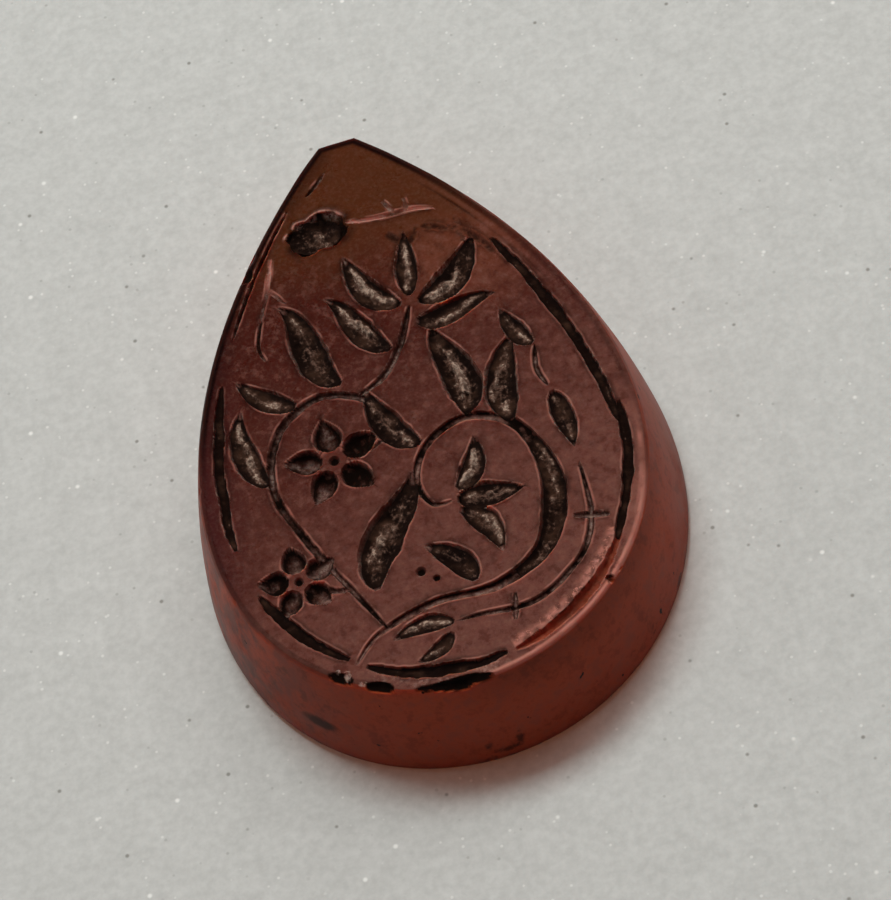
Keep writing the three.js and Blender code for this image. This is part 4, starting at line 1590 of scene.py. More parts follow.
@dataclass
class Residue:
    """The old residue: one thin granular crust in each deep cut, clear of the stone all round.

    A crust in a groove of the border has a lower ridge, a darker colour and less body than one in a leaf.
    """

    engraving: Engraving
    height: float
    spacing: float = 0.045
    gap: float = 0.012
    reach: float = 0.84
    least: float = 0.3
    least_in_stem: float = 0.55
    ends: float = 0.5
    ends_in_stem: float = 1.8
    drift: float = 0.4
    lean: float = 0.25
    ridge_width: float = 0.42
    groove_ridge: float = 0.15
    groove_paler: float = -0.25
    groove_fuller: float = 0.5
    pit_paler: float = 0.1
    pit_seed: int = 7
    pit_side: int = 45
    pit_ridge: Patchy = Patchy(-0.1, 1.5)
    slow: Patchy = Patchy(0.55, 0.75)
    lumps: Patchy = Patchy(0.5, 0.65, most=1.1)
    grit: Patchy = Patchy(0.0, 1.0, least=-0.5)
    grit_mm: float = 0.03
    thinnest: float = 0.003
    sharp_deg: float = 70.0

    SIDE_POWER = 0.6
    END_POWER = 0.5
    SLOW_APART = 5.0
    SLOW_PER_MM = 0.7
    LUMPS_PER_MM = 3.6
    GRIT_PER_MM = 8.0
    DRIFT_PER_MM = 0.8
    PIT_RIDGE_PER_MM = 2.0
    PIT_FALL = 0.9
    CREST = (0.35, 0.9)
    BODY = (0.12, 0.18, 0.5)

    def build(self) -> list[bpy.types.Object]:
        """Builds every deposit.

        Returns:
            The deposits' objects, each named for its cut.
        """
        pieces = [self._deposit(stroke) for stroke in self.engraving.strokes if stroke.fill is Fill.RESIDUE]
        pieces.append(self._pit_deposit())
        return pieces

    def _deposit(self, stroke: Stroke) -> bpy.types.Object:
        """The crust in one stroke, on rows along it and across it."""
        groove, in_stem = stroke.section is Section.GROOVE, stroke.swell_filled
        least = self.least_in_stem if in_stem else self.least
        deep = np.flatnonzero(stroke.depth > least * stroke.depth.max())
        first, last = stroke.gone[deep[0]], stroke.gone[deep[-1]]
        along = np.linspace(first, last, max(int((last - first) / self.spacing), 8))
        columns = max(int(2 * stroke.half.max() * self.reach / self.spacing), 6) | 1
        gone, share = (g.ravel() for g in np.meshgrid(along, np.linspace(-1.0, 1.0, columns), indexing="ij"))
        end = np.minimum(gone - first, last - gone)
        end /= (self.ends_in_stem if in_stem else self.ends) * stroke.half.max()
        grain = Grain(stroke.seed)
        drift = self.drift * grain.at(np.stack([gone, np.zeros(len(gone))], axis=1), self.DRIFT_PER_MM, 2)
        drift += self.lean * np.sign(np.interp(gone, stroke.gone, stroke.left[:, 1]))
        ridge = np.exp(-(((share - drift) / self.ridge_width) ** 2))
        sides = np.clip(1 - share**2, 0.0, 1.0) ** self.SIDE_POWER
        bed = Bed(
            name=stroke.name,
            spots=stroke.spots(gone, share * self.reach),
            shape=sides * np.clip(end, 0.0, 1.0) ** self.END_POWER,
            full=np.interp(gone, stroke.gone, stroke.depth),
            ridge=ridge * (self.groove_ridge if groove else 1.0),
            flow=np.stack([gone, share * np.interp(gone, stroke.gone, stroke.half)], axis=1),
            counts=(len(along), columns),
            paler=self.groove_paler if groove else 0.0,
            fuller=self.groove_fuller if groove else 1.0,
        )
        return self._crust(bed, grain)

    def _pit_deposit(self) -> bpy.types.Object:
        """The crust in the pit, on a squared-off disc."""
        cuts = self.engraving.cuts
        grid = np.linspace(-1.0, 1.0, self.pit_side)
        u, v = (axis.ravel() for axis in np.meshgrid(grid, grid, indexing="ij"))
        disc = np.stack([u * np.sqrt(1 - v**2 / 2), v * np.sqrt(1 - u**2 / 2)], axis=1)
        off = np.clip(np.linalg.norm(disc, axis=1), 0.0, 1.0)
        local = disc * np.array([cuts.pit_length, cuts.pit_width]) / 2 * self.reach
        spots = self.engraving.on_face(PIT_AT) + local @ spin_axes(PIT_TURN)
        grain = Grain(self.pit_seed)
        bed = Bed(
            name="pit",
            spots=spots,
            shape=(1 - off**2 * self.PIT_FALL) ** self.SIDE_POWER,
            full=np.full(len(spots), cuts.pit_depth),
            ridge=self.pit_ridge.at(grain.at(spots, self.PIT_RIDGE_PER_MM, 2)),
            flow=local,
            counts=(self.pit_side, self.pit_side),
            paler=self.pit_paler,
        )
        return self._crust(bed, grain)

    def _crust(self, bed: Bed, grain: Grain) -> bpy.types.Object:
        """One closed crust over a grid of places, thin at its edge.

        Args:
            bed: Where the crust lies.
            grain: The noise that makes its lumps.

        Returns:
            The crust's object.
        """
        rows, columns = bed.counts
        floor = self.height - self.engraving.carve(bed.spots).depth + self.gap
        slow = self.slow.at(grain.at(bed.spots + self.SLOW_APART, self.SLOW_PER_MM, 2))
        lumps = self.lumps.at(grain.at(bed.spots, self.LUMPS_PER_MM, 2))
        grit = self.grit.at(grain.at(bed.spots, self.GRIT_PER_MM, 2))
        crest = bed.ridge * slow * (self.CREST[0] + self.CREST[1] * lumps)
        least, by_lumps, by_crest = self.BODY
        body = bed.full * bed.fuller * (least + by_lumps * lumps + by_crest * crest)
        thick = bed.shape * (body + self.grit_mm * (grit + 0.5))
        grid = np.arange(rows * columns).reshape(rows, columns)
        border = np.zeros((rows, columns), bool)
        border[0] = border[-1] = border[:, 0] = border[:, -1] = True
        edge = border.ravel()
        thick = np.where(edge, 0.0, np.maximum(thick, self.thinnest))
        inner = np.flatnonzero(~edge)
        under = np.arange(rows * columns)
        under[inner] = rows * columns + np.arange(len(inner))
        top = np.column_stack([bed.spots, floor + thick])
        places = np.concatenate([top, np.column_stack([bed.spots, floor])[inner]])
        a, b, c, d = (part.ravel() for part in (grid[:-1, :-1], grid[1:, :-1], grid[1:, 1:], grid[:-1, 1:]))
        faces = np.stack([a, b, c, d], axis=1).tolist()
        faces += np.stack([under[d], under[c], under[b], under[a]], axis=1).tolist()
        piece = make_object(f"residue_{bed.name}_crust", places, faces, self.sharp_deg)
        flow = np.column_stack([bed.flow, (crest + 0.5) * bed.shape - 0.5 + bed.paler])
        store_marks(piece, "flow", np.concatenate([flow, flow[inner]]))
        return piece


@dataclass(frozen=True)
class Pattern:
    """Procedural noise: its repeats in a millimetre, its layers and how strong the fine ones are."""

    per_mm: float
    detail: float = 2.0
    rough: float = 0.5


@dataclass(frozen=True)
class Spread:
    """A smooth change from one share to another as a value goes from low to high."""

    low: float
    high: float
    to_low: float = 0.0
    to_high: float = 1.0


@dataclass(frozen=True)
class Drift:
    """A change of colour across the stone: its way, how far slow noise shifts it, and its spread."""

    way: Triple
    wander: float
    spread: Spread


class Nodes:
    """A short way to lay out a material's nodes."""

    def __init__(self, name: str) -> None:
        """Starts an empty material.

        Args:
            name: The material's name.
        """
        self.material = bpy.data.materials.new(name)
        self.material.use_nodes = True
        self.tree = self.material.node_tree
        self.tree.nodes.clear()

    def add(self, kind: str, values: dict, **settings: str | bool) -> bpy.types.Node:
        """Adds a node, sets its properties, and links its sockets or gives them plain values.

        Args:
            kind: The node's type.
            values: What goes into each socket, by its name or number.
            **settings: The node's properties by name.

        Returns:
            The node.
        """
        node = self.tree.nodes.new(kind)
        for name, setting in settings.items():
            setattr(node, name, setting)
        for name, value in values.items():
            if isinstance(value, Socket):
                self.tree.links.new(value, node.inputs[name])
            else:
                node.inputs[name].default_value = value
        return node

    def math(self, operation: str, first: Number, second: Number, clamp: bool = False) -> Socket:
        """One sum on two numbers, which may be kept between 0 and 1."""
        values = {0: first, 1: second}
        return self.add("ShaderNodeMath", values, operation=operation, use_clamp=clamp).outputs[0]

    def times(self, first: Number, second: Number) -> Socket:
        """The product of two numbers."""
        return self.math("MULTIPLY", first, second)

    def plus(self, first: Number, second: Number, share: float = 1.0) -> Socket:
        """The sum of a number and a share of another."""
        return self.math("ADD", first, second if share == 1.0 else self.times(second, share))

    def spread(self, value: Socket, spread: Spread) -> Socket:
        """A smooth map of a value from one range to another."""
        values = {0: value, 1: spread.low, 2: spread.high, 3: spread.to_low, 4: spread.to_high}
        return self.add("ShaderNodeMapRange", values, interpolation_type="SMOOTHSTEP").outputs[0]

    def blend(self, share: Socket, first: Socket | Colour, second: Socket | Colour) -> Socket:
        """A mix of two colours, by the share of the second."""
        return self.add("ShaderNodeMix", {0: share, 6: first, 7: second}, data_type="RGBA").outputs[2]

    def noise(self, place: Socket, pattern: Pattern) -> Socket:
        """Noise from 0 to 1."""
        sizes = {"Scale": pattern.per_mm, "Detail": pattern.detail, "Roughness": pattern.rough}
        return self.add("ShaderNodeTexNoise", {"Vector": place, **sizes}).outputs["Fac"]

    def patches(self, place: Socket, pattern: Pattern, spread: Spread) -> Socket:
        """Noise spread to shares, as soft or sharp patches."""
        return self.spread(self.noise(place, pattern), spread)

    def vector(self, operation: str, source: Socket, value: Triple) -> bpy.types.Node:
        """One sum on a vector and a plain one, as a node."""
        return self.add("ShaderNodeVectorMath", {0: source, 1: value}, operation=operation)

    def place(self, stretch: Triple = (1.0, 1.0, 1.0)) -> Socket:
        """The place on the object in millimetres, stretched along the axes."""
        source = self.add("ShaderNodeTexCoord", {})
        return self.stretched(source.outputs["Object"], tuple(share / MM for share in stretch))

    def stretched(self, source: Socket, scale: Triple) -> Socket:
        """A vector times another."""
        return self.vector("MULTIPLY", source, scale).outputs[0]

    def attribute(self, name: str) -> Socket:
        """A vector stored on the mesh."""
        return self.add("ShaderNodeAttribute", {}, attribute_name=name).outputs["Vector"]

    def split(self, source: Socket) -> bpy.types.Node:
        """The three parts of a vector, as a node's outputs."""
        return self.add("ShaderNodeSeparateXYZ", {0: source})

    def across(self, place: Socket, way: Triple) -> Socket:
        """How far a place lies along a direction."""
        return self.vector("DOT_PRODUCT", place, way).outputs["Value"]

    def drift(self, place: Socket, drift: Drift, slow: Socket | None = None) -> Socket:
        """A change across the stone, which slow noise may shift."""
        along = self.across(place, drift.way)
        return self.spread(self.plus(along, slow, drift.wander) if slow else along, drift.spread)

    def away(self, place: Socket, centre: Triple, size: Triple) -> Socket:
        """How far a place lies from a centre, in shares of a size along each axis."""
        scaled = self.vector("DIVIDE", self.vector("SUBTRACT", place, centre).outputs[0], size).outputs[0]
        return self.add("ShaderNodeVectorMath", {0: scaled}, operation="LENGTH").outputs["Value"]

    def bump(self, height: Socket, strength: Number, high_mm: float, under: Socket | None = None) -> Socket:
        """A normal bumped by a height, over the mesh's own normal or another."""
        values = {"Strength": strength, "Distance": high_mm * MM, "Height": height}
        return self.add("ShaderNodeBump", values | ({"Normal": under} if under else {})).outputs["Normal"]

    def finish(self, values: dict) -> bpy.types.Material:
        """Ends the material in a shader with these values.

        Args:
            values: What goes into each of the shader's sockets, by name.

        Returns:
            The material.
        """
        shader = self.add("ShaderNodeBsdfPrincipled", values)
        self.add("ShaderNodeOutputMaterial", {"Surface": shader.outputs[0]})
        return self.material


def tone(red: int, green: int, blue: int) -> Colour:
    """A colour as light, from its 0 to 255 screen values."""

    def light(value: int) -> float:
        """One channel."""
        share = value / 255
        return share / 12.92 if share <= 0.04045 else ((share + 0.055) / 1.055) ** 2.4

    return light(red), light(green), light(blue), 1.0


@dataclass(frozen=True)
class CarnelianFinish:
    """Translucent orange-red stone: a polished face, a satin wall, frosted and stained cuts."""

    deep: Colour = tone(64, 23, 16)
    mauve: Colour = tone(101, 61, 52)
    dusty: Colour = tone(122, 80, 69)
    left_edge: Colour = tone(60, 22, 22)
    point: Colour = tone(77, 38, 18)
    warm: Colour = tone(126, 71, 50)
    # painted glow: wall is the colour high on the wall, wall_low the colour at its foot
    wall: Colour = tone(168, 67, 37)
    wall_low: Colour = tone(155, 60, 36)
    # grey-pink: a painted reflection in patches on the left of the wall, and pale mottling elsewhere
    wall_left: Colour = tone(118, 60, 48)
    edge_dark: Colour = tone(18, 5, 4)
    frost: Colour = tone(164, 136, 124)
    coral: Colour = tone(180, 119, 105)
    dirt: Colour = tone(17, 9, 6)
    flaw: Colour = tone(62, 18, 1)

    flecks: tuple = (Pattern(5.0, 4.0, 0.75), Spread(0.5, 0.6))
    granules: tuple = (Pattern(6.5, 3.0, 0.75), Spread(0.42, 0.58, 0.15, 1.15))
    clods: tuple = (Pattern(4.5, 3.0, 0.7), Spread(0.45, 0.62, 1.0, 0.68))
    thick_dirt: Spread = Spread(0.9, 1.0)

    slow: Pattern = Pattern(0.3, 3.0, 0.55)
    # painted reflection: the face turns mauve towards the lower right
    to_mauve: Drift = Drift((0.47, -0.88, 0.0), 4.0, Spread(-3.6, 11.2))
    to_point: Drift = Drift((0.0, 1.0, 0.0), 3.0, Spread(6.0, 9.5, 0.0, 0.9))
    # painted shade: the face darkens towards its far left edge
    to_left: Drift = Drift((-1.0, 0.1, 0.0), 0.0, Spread(5.2, 7.4, 0.0, 0.9))
    warm_at: Triple = (2.9, 5.4, 4.3)
    warm_size: Triple = (3.4, 3.6, 4.0)
    warm_wander: float = 0.6
    warm_spread: Spread = Spread(1.3, 0.5, 0.0, 0.42)
    cloud: Pattern = Pattern(2.3, 4.0, 0.72)
    dark_clouds: Spread = Spread(0.5, 0.36, 0.0, 0.5)
    dusty_clouds: Spread = Spread(0.5, 0.66, 0.0, 0.36)
    dust: tuple = (Pattern(9.0, 2.0, 0.6), Spread(0.4, 0.75, 0.0, 0.05))

    up: Triple = (0.0, 0.0, 1.0)
    wall_stretch: Triple = (1.0, 1.0, 0.5)
    wall_cloud: Pattern = Pattern(0.35, 3.0, 0.5)
    wall_wander: float = 1.2
    foot_mm: float = 0.6
    over_mm: float = 0.2
    # painted shade: the wall darkens towards the right
    wall_right: Drift = Drift((1.0, 0.5, 0.0), 0.0, Spread(3.5, 7.0, 0.0, 0.3))
    wall_to_left: Drift = Drift((-1.0, 0.0, 0.0), 0.0, Spread(3.0, 7.5))
    left_patches: tuple = (Pattern(1.1, 4.0, 0.6), Spread(0.35, 0.6))
    mottle: Pattern = Pattern(1.7, 4.0, 0.7)
    dark_mottle: Spread = Spread(0.52, 0.34, 0.0, 0.32)
    pale_mottle: Spread = Spread(0.46, 0.68, 0.0, 0.45)
    specks: tuple = (Pattern(2.6, 2.0, 0.5), Spread(0.73, 0.77))
    smudges: tuple = (Pattern(0.9, 4.0, 0.7), Spread(0.6, 0.68))
    smudge_levels: Spread = Spread(1.5, 0.4, 0.0, 0.6)
    # painted shade along the foot of the wall
    foot_line: Spread = Spread(0.5, 0.12, 0.0, 0.8)
    spot_edge: Pattern = Pattern(3.6, 4.0, 0.75)
    spot_ragged: float = 2.6
    spot_spread: Spread = Spread(2.4, 1.5, 0.0, 0.75)
    spots: tuple[tuple[Triple, Triple], ...] = (
        ((-0.32, -11.84, 1.0), (0.24, 0.4, 0.2)),
        ((0.24, -11.88, 0.66), (0.48, 0.4, 0.17)),
        ((0.72, -11.81, 0.95), (0.17, 0.4, 0.42)),
        ((7.12, -7.5, 0.4), (0.22, 0.46, 0.18)),
    )
    flaw_at: Triple = (-5.47, -9.56, 1.66)
    flaw_size: Triple = (0.84, 0.68, 0.3)
    flaw_edge: Pattern = Pattern(2.4, 3.0, 0.6)
    flaw_spread: Spread = Spread(1.75, 0.95)

    roughness: float = 0.27
    wall_rougher: float = 0.14
    used_roughness: float = 0.85
    glow_used: float = 0.7
    wear: tuple = (Pattern(0.7, 4.0, 0.6), Spread(0.4, 0.75, 0.0, 0.12))
    scratch_stretch: Triple = (5.0, 0.35, 1.0)
    scratches: Pattern = Pattern(2.2, 2.0, 0.6)
    scratch_strength: float = 0.06
    scratch_mm: float = 0.02
    grain: Pattern = Pattern(11.0, 3.0, 0.7)
    grain_strength: float = 0.8
    grain_mm: float = 0.04
    optics: tuple = (
        ("IOR", 1.54),
        ("Specular IOR Level", 0.08),
        ("Subsurface Weight", 0.5),
        ("Subsurface Radius", (1.0, 0.2, 0.12)),
        ("Subsurface Scale", 0.0014),
    )

    def material(self, height_mm: float) -> bpy.types.Material:
        """Builds the material.

        Args:
            height_mm: The stone's height, up to which the wall's painted glow grows lighter.

        Returns:
            The material.
        """
        n = Nodes("carnelian")
        place = n.place()
        marks, tints = n.split(n.attribute("marks")), n.split(n.attribute("tints"))
        dirt, frost, coral = marks.outputs
        shade, speckle, wall_share = tints.outputs
        colour = n.blend(wall_share, self._face(n, place), self._wall(n, place, height_mm))
        # The shade tint darkens towards edge_dark: painted shade along the rim, and stains round the cuts and
        # the pit.
        colour = n.blend(shade, colour, self.edge_dark)
        flecks = n.patches(place, *self.flecks)
        # Coral paints highlights and glow: on the cut edges, on the rim and in the speckled band.
        glow = n.math("MAXIMUM", coral, n.times(speckle, flecks))
        colour = n.blend(glow, colour, self.coral)
        frost = n.math("MULTIPLY", frost, n.patches(place, *self.granules), clamp=True)
        colour = n.blend(frost, colour, self.frost)
        clods = n.patches(place, *self.clods)
        dirt = n.times(dirt, n.math("MAXIMUM", clods, n.spread(dirt, self.thick_dirt)))
        colour = n.blend(dirt, colour, self.dirt)
        used = n.math("MAXIMUM", n.math("MAXIMUM", frost, dirt), n.times(glow, self.glow_used))
        plain = n.plus(n.plus(n.patches(place, *self.wear), self.roughness), wall_share, self.wall_rougher)
        roughness = {0: used, 2: plain, 3: self.used_roughness}
        roughness = n.add("ShaderNodeMix", roughness, data_type="FLOAT").outputs[0]
        scratches = n.noise(n.place(self.scratch_stretch), self.scratches)
        polish = n.bump(scratches, self.scratch_strength, self.scratch_mm)
        grain = n.noise(place, self.grain)
        normal = n.bump(grain, n.times(used, self.grain_strength), self.grain_mm, polish)
        values = {"Base Color": colour, "Roughness": roughness, "Normal": normal}
        return n.finish(values | dict(self.optics))

    def _face(self, n: Nodes, place: Socket) -> Socket:
        """The face's colour.

        It is deep red with a painted mauve reflection towards the lower right, browner at the point, darkened
        by painted shade at the left, and with a warm patch at the upper right.

        Args:
            n: The material's nodes.
            place: The place in millimetres.

        Returns:
            The colour.
        """
        slow = n.noise(place, self.slow)
        # Painted reflection: the face blends from deep red to mauve towards the lower right.
        face = n.blend(n.drift(place, self.to_mauve, slow), self.deep, self.mauve)
        near = n.plus(n.away(place, self.warm_at, self.warm_size), slow, self.warm_wander)
        face = n.blend(n.spread(near, self.warm_spread), face, self.warm)
        cloud = n.noise(place, self.cloud)
        face = n.blend(n.spread(cloud, self.dark_clouds), face, self.deep)
        face = n.blend(n.spread(cloud, self.dusty_clouds), face, self.dusty)
        face = n.blend(n.drift(place, self.to_point, slow), face, self.point)
        # Painted shade: the face darkens towards its far left edge.
        face = n.blend(n.drift(place, self.to_left), face, self.left_edge)
        return n.blend(n.patches(place, *self.dust), face, self.frost)

    def _wall(self, n: Nodes, place: Socket, height_mm: float) -> Socket:
        """The wall's colour: red with a painted glow that grows lighter towards the top, painted shade at its
        foot and to the right, a painted grey reflection at the left, and a few flaws.

        Args:
            n: The material's nodes.
            place: The place in millimetres.
            height_mm: The stone's height.

        Returns:
            The colour.
        """
        cloud = n.noise(n.place(self.wall_stretch), self.wall_cloud)
        # Painted glow: the wall grows lighter from its foot to its top, as if lit through the stone.
        rise = Drift(self.up, self.wall_wander, Spread(self.foot_mm, height_mm + self.over_mm))
        wall = n.blend(n.drift(place, rise, cloud), self.wall_low, self.wall)
        # Painted shade: the wall darkens towards the right.
        wall = n.blend(n.drift(place, self.wall_right), wall, self.edge_dark)
        # Painted reflection: pale grey-pink patches on the wall towards the left.
        left = n.drift(place, self.wall_to_left)
        wall = n.blend(n.times(left, n.patches(place, *self.left_patches)), wall, self.wall_left)
        mottle = n.noise(place, self.mottle)
        wall = n.blend(n.spread(mottle, self.dark_mottle), wall, self.edge_dark)
        wall = n.blend(n.spread(mottle, self.pale_mottle), wall, self.wall_left)
        wall = n.blend(n.patches(place, *self.specks), wall, self.edge_dark)
        level = n.across(place, self.up)
        smudges = n.patches(place, *self.smudges)
        wall = n.blend(n.times(smudges, n.spread(level, self.smudge_levels)), wall, self.edge_dark)
        # Painted shade: the lowest half millimetre of the wall darkens where it meets the floor.
        wall = n.blend(n.spread(level, self.foot_line), wall, self.edge_dark)
        ragged = n.times(n.noise(place, self.spot_edge), self.spot_ragged)
        for at, size in self.spots:
            near = n.plus(n.away(place, at, size), ragged)
            wall = n.blend(n.spread(near, self.spot_spread), wall, self.edge_dark)
        near = n.plus(n.away(place, self.flaw_at, self.flaw_size), n.noise(place, self.flaw_edge))
        return n.blend(n.spread(near, self.flaw_spread), wall, self.flaw)


@dataclass(frozen=True)
class ResidueFinish:
    """Dried ink, wax and dirt: matt and streaky, near black, with paler grains on its crests."""

    dark: Colour = tone(19, 9, 6)
    olive: Colour = tone(52, 34, 25)
    dusty: Colour = tone(90, 67, 57)
    pale: Colour = tone(158, 135, 119)
    streak_stretch: Triple = (1.1, 6.5, 0.0)
    streaks: Pattern = Pattern(1.0, 3.0, 0.55)
    grit: Pattern = Pattern(5.5, 3.0, 0.75)
    granules: tuple = (Pattern(6.5, 2.0, 0.65), Spread(0.42, 0.58, 0.15, 1.0))
    patches: Pattern = Pattern(1.2, 4.0, 0.6)
    patch_crest: float = 0.3
    olive_spread: Spread = Spread(0.38, 0.68)
    grit_share: float = 0.65
    streak_share: float = 0.35
    crest_share: float = 0.36
    dusty_spread: Spread = Spread(0.5, 0.66)
    pale_spread: Spread = Spread(0.62, 0.71)
    bump_strength: float = 0.9
    bump_mm: float = 0.06
    optics: tuple = (("Roughness", 0.85), ("Specular IOR Level", 0.3))

    def material(self) -> bpy.types.Material:
        """Builds the material.

        Returns:
            The material.
        """
        n = Nodes("old_residue")
        place = n.place()
        flow = n.attribute("flow")
        streaks = n.noise(n.stretched(flow, self.streak_stretch), self.streaks)
        grit = n.noise(place, self.grit)
        granules = n.patches(place, *self.granules)
        crest = n.split(flow).outputs[2]
        patch = n.plus(n.noise(place, self.patches), crest, self.patch_crest)
        colour = n.blend(n.spread(patch, self.olive_spread), self.dark, self.olive)
        rough = n.plus(n.times(grit, self.grit_share), streaks, self.streak_share)
        bright = n.plus(rough, crest, self.crest_share)
        colour = n.blend(n.spread(bright, self.dusty_spread), colour, self.dusty)
        colour = n.blend(n.times(n.spread(bright, self.pale_spread), granules), colour, self.pale)
        normal = n.bump(rough, self.bump_strength, self.bump_mm)
        return n.finish({"Base Color": colour, "Normal": normal} | dict(self.optics))


@dataclass(frozen=True)
class FloorFinish:
    """A pale grey painted board with a fine grain, and a few tiny pale and dark grains."""

    plain: Colour = tone(207, 206, 202)
    shade: Colour = tone(173, 172, 168)
    pale: Colour = tone(228, 226, 221)
    dark: Colour = tone(142, 140, 134)
    grain: tuple = (Pattern(3.2, 3.0, 0.6), Spread(0.2, 0.8))
    grain_share: float = 0.4
    cloud: tuple = (Pattern(0.9, 2.0, 0.5), Spread(0.2, 0.8))
    cloud_share: float = 0.2
    least: float = 0.2
    optics: tuple = (("Roughness", 0.85), ("Specular IOR Level", 0.15))

    GRAIN_REACH = (0.055, 0.03)
    GRAIN_BLUR = 0.05

    def material(self) -> bpy.types.Material:
        """Builds the material.

        Returns:
            The material.
        """
        n = Nodes("pale_board")
        grain = n.times(n.patches(n.place(), *self.grain), self.grain_share)
        cloud = n.times(n.patches(n.place(), *self.cloud), self.cloud_share)
        colour = n.blend(n.plus(n.plus(grain, cloud), self.least), self.shade, self.plain)
        colour = n.blend(n.times(self._grains(n, 2.6, 0.7), 0.5), colour, self.pale)
        colour = n.blend(n.times(self._grains(n, 2.1, 0.8), 0.4), colour, self.dark)
        colour = n.blend(self._grains(n, 0.75, 0.6), colour, self.pale)
        colour = n.blend(self._grains(n, 1.03, 0.6), colour, self.dark)
        return n.finish({"Base Color": colour} | dict(self.optics))

    def _grains(self, n: Nodes, per_mm: float, rare: float) -> Socket:
        """Where single grains lie: a small spot in some cells of a scattered pattern.

        Args:
            n: The material's nodes.
            per_mm: How many cells there are in a millimetre.
            rare: The share of cells that stay empty.

        Returns:
            The grains' share, from 0 to 1.
        """
        values = {"Vector": n.place((1.0, 1.0, 1.0 + rare)), "Scale": per_mm}
        cells = n.add("ShaderNodeTexVoronoi", values)
        picked = n.spread(n.split(cells.outputs["Color"]).outputs[0], Spread(rare, rare + self.GRAIN_BLUR))
        outer, inner = (reach * per_mm for reach in self.GRAIN_REACH)
        return n.times(n.spread(cells.outputs["Distance"], Spread(outer + self.GRAIN_BLUR, inner)), picked)


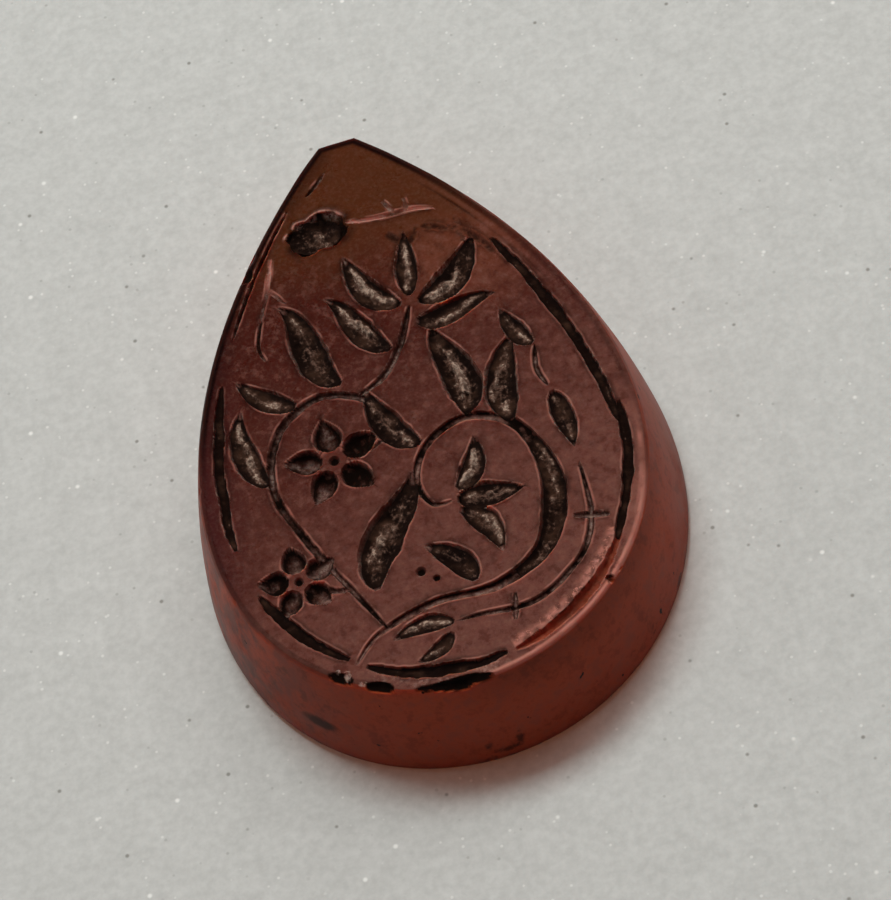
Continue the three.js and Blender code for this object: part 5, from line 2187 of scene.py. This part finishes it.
@dataclass
class Studio:
    """The floor, the soft light and the camera at the photograph's angle, in metres unless a name says mm."""

    outline: PearOutline
    elevation: float = 0.9946
    turn: float = -0.0952
    roll: float = -0.3636
    distance_mm: float = 140.0
    pixels_per_mm: float = 29.08
    origin_pixel: Share = (424.1, 458.2)
    image_size: tuple[int, int] = (891, 900)
    sensor_mm: float = 36.0
    clip_start: float = 0.005
    floor_side: float = 1.2
    sky: float = 0.1
    lamp_distance: float = 0.34
    strip_from: Triple = (-0.067, 0.418, 0.906)
    strip_size: Share = (0.16, 0.08)
    strip_power: float = 0.9
    strip_tint: Triple = (0.79, 0.955, 0.97)
    glow_power: float = 0.25
    glow_tint: Triple = (1.0, 0.22, 0.04)
    window_from: Triple = (0.367, 0.528, 0.766)
    window_size: Share = (0.24, 0.2)
    window_power: float = 0.34
    glint_from: Triple = (-0.8, 0.25, 0.55)
    glint_size: Share = (0.1, 0.1)
    glint_power: float = 0.05

    def axes(self) -> tuple[Vector, Vector, Vector]:
        """The photograph's own directions.

        Returns:
            Its right, its up and its way towards the lens.
        """
        sin, cos = math.sin(self.elevation), math.cos(self.elevation)
        spin = Matrix.Rotation(-self.turn, 3, "Z")
        right = spin @ Vector((1.0, 0.0, 0.0))
        up = spin @ Vector((0.0, sin, cos))
        back = spin @ Vector((0.0, -cos, sin))
        swing, lift = math.cos(self.roll), math.sin(self.roll)
        return right * swing + up * lift, up * swing - right * lift, back

    def camera(self) -> bpy.types.Object:
        """Sets the camera where the photograph was taken from.

        Returns:
            The camera.
        """
        right, up, back = self.axes()
        focal = self.pixels_per_mm * self.distance_mm
        width, height = self.image_size
        data = bpy.data.cameras.new("photo_camera")
        data.sensor_width = self.sensor_mm
        data.lens = self.sensor_mm * focal / max(width, height)
        data.clip_start = self.clip_start
        camera = bpy.data.objects.new("photo_camera", data)
        bpy.context.scene.collection.objects.link(camera)
        aimed = Matrix((right, up, back)).transposed()
        pixel = self.origin_pixel
        seen = Vector((pixel[0] - width / 2, height / 2 - pixel[1], -focal)).normalized()
        nudge = seen.rotation_difference(Vector((0.0, 0.0, -1.0))).to_matrix()
        middle = self.outline.middle * MM
        target = Vector((-middle[0], -middle[1], 0.0))
        place = Matrix.Translation(target + back * self.distance_mm * MM)
        camera.matrix_world = place @ (aimed @ nudge).to_4x4()
        bpy.context.scene.camera = camera
        return camera

    def floor(self, finish: FloorFinish) -> bpy.types.Object:
        """Lays the pale board under the stone.

        Args:
            finish: The board's finish.

        Returns:
            The board.
        """
        half = self.floor_side / 2
        corners = [(-half, -half, 0.0), (half, -half, 0.0), (half, half, 0.0), (-half, half, 0.0)]
        mesh = bpy.data.meshes.new("pale_board")
        mesh.from_pydata(corners, [], [(0, 1, 2, 3)])
        board = bpy.data.objects.new("pale_board", mesh)
        bpy.context.scene.collection.objects.link(board)
        mesh.materials.append(finish.material())
        return board

    def light(self) -> None:
        """Hangs a strip lamp high beyond the stone, a soft window at its right and a weak lamp at its left.

        A red lamp beside the strip casts no shadow, and the strip lacks as much red. So the board stays grey
        in the open and reddens in the stone's shadow, as under a stone that lets some light through.
        """
        strip = self._lamp("strip", self.strip_from, self.strip_power, self.strip_size, self.strip_tint)
        glow = self._lamp("glow", self.strip_from, self.glow_power, self.strip_size, self.glow_tint)
        glow.data.use_shadow = False
        window = self._lamp("window", self.window_from, self.window_power, self.window_size)
        for lamp in (strip, glow, window):
            lamp.visible_glossy = False
        self._lamp("glint", self.glint_from, self.glint_power, self.glint_size)
        world = bpy.data.worlds.new("room")
        world.use_nodes = True
        background = world.node_tree.nodes["Background"]
        background.inputs["Color"].default_value = (1.0, 1.0, 1.0, 1.0)
        background.inputs["Strength"].default_value = self.sky
        bpy.context.scene.world = world

    def _lamp(
        self, name: str, way: Triple, power: float, size: Share, tint: Triple = (1.0, 1.0, 1.0)
    ) -> bpy.types.Object:
        """A rectangular lamp that faces the stone.

        Args:
            name: The lamp's name.
            way: The direction it shines from.
            power: Its power in watts.
            size: Its width and height.
            tint: Its colour.

        Returns:
            The lamp.
        """
        data = bpy.data.lights.new(name, "AREA")
        data.shape = "RECTANGLE"
        data.size, data.size_y = size
        data.energy = power
        data.color = tint
        lamp = bpy.data.objects.new(name, data)
        place = Vector(way).normalized() * self.lamp_distance
        lamp.location = place
        lamp.rotation_euler = (-place).to_track_quat("-Z", "Y").to_euler()
        bpy.context.scene.collection.objects.link(lamp)
        return lamp


def main() -> None:
    """Builds the stone, its residue and the studio, and reports each piece."""
    logging.basicConfig(level=logging.INFO, format="%(name)s: %(message)s")
    outline = PearOutline(StoneSizes.from_frame())
    engraving = Engraving(outline, CutSizes())
    studio = Studio(outline)
    studio.camera()
    studio.floor(FloorFinish())
    studio.light()
    bpy.context.scene.view_settings.view_transform = "Standard"

    stone = SealStone(outline, engraving).build()
    stone.data.materials.append(CarnelianFinish().material(outline.sizes.height))
    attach(stone, ROOT)
    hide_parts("stone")
    LOG.info("%s: %d faces", stone.name, len(stone.data.polygons))

    residue_material = ResidueFinish().material()
    for crust in Residue(engraving, outline.sizes.height).build():
        crust.data.materials.append(residue_material)
        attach(crust, ROOT)
        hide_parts(crust.name.removesuffix("_crust"))
        LOG.info("%s: %d faces", crust.name, len(crust.data.polygons))


if __name__ == "__main__":
    main()
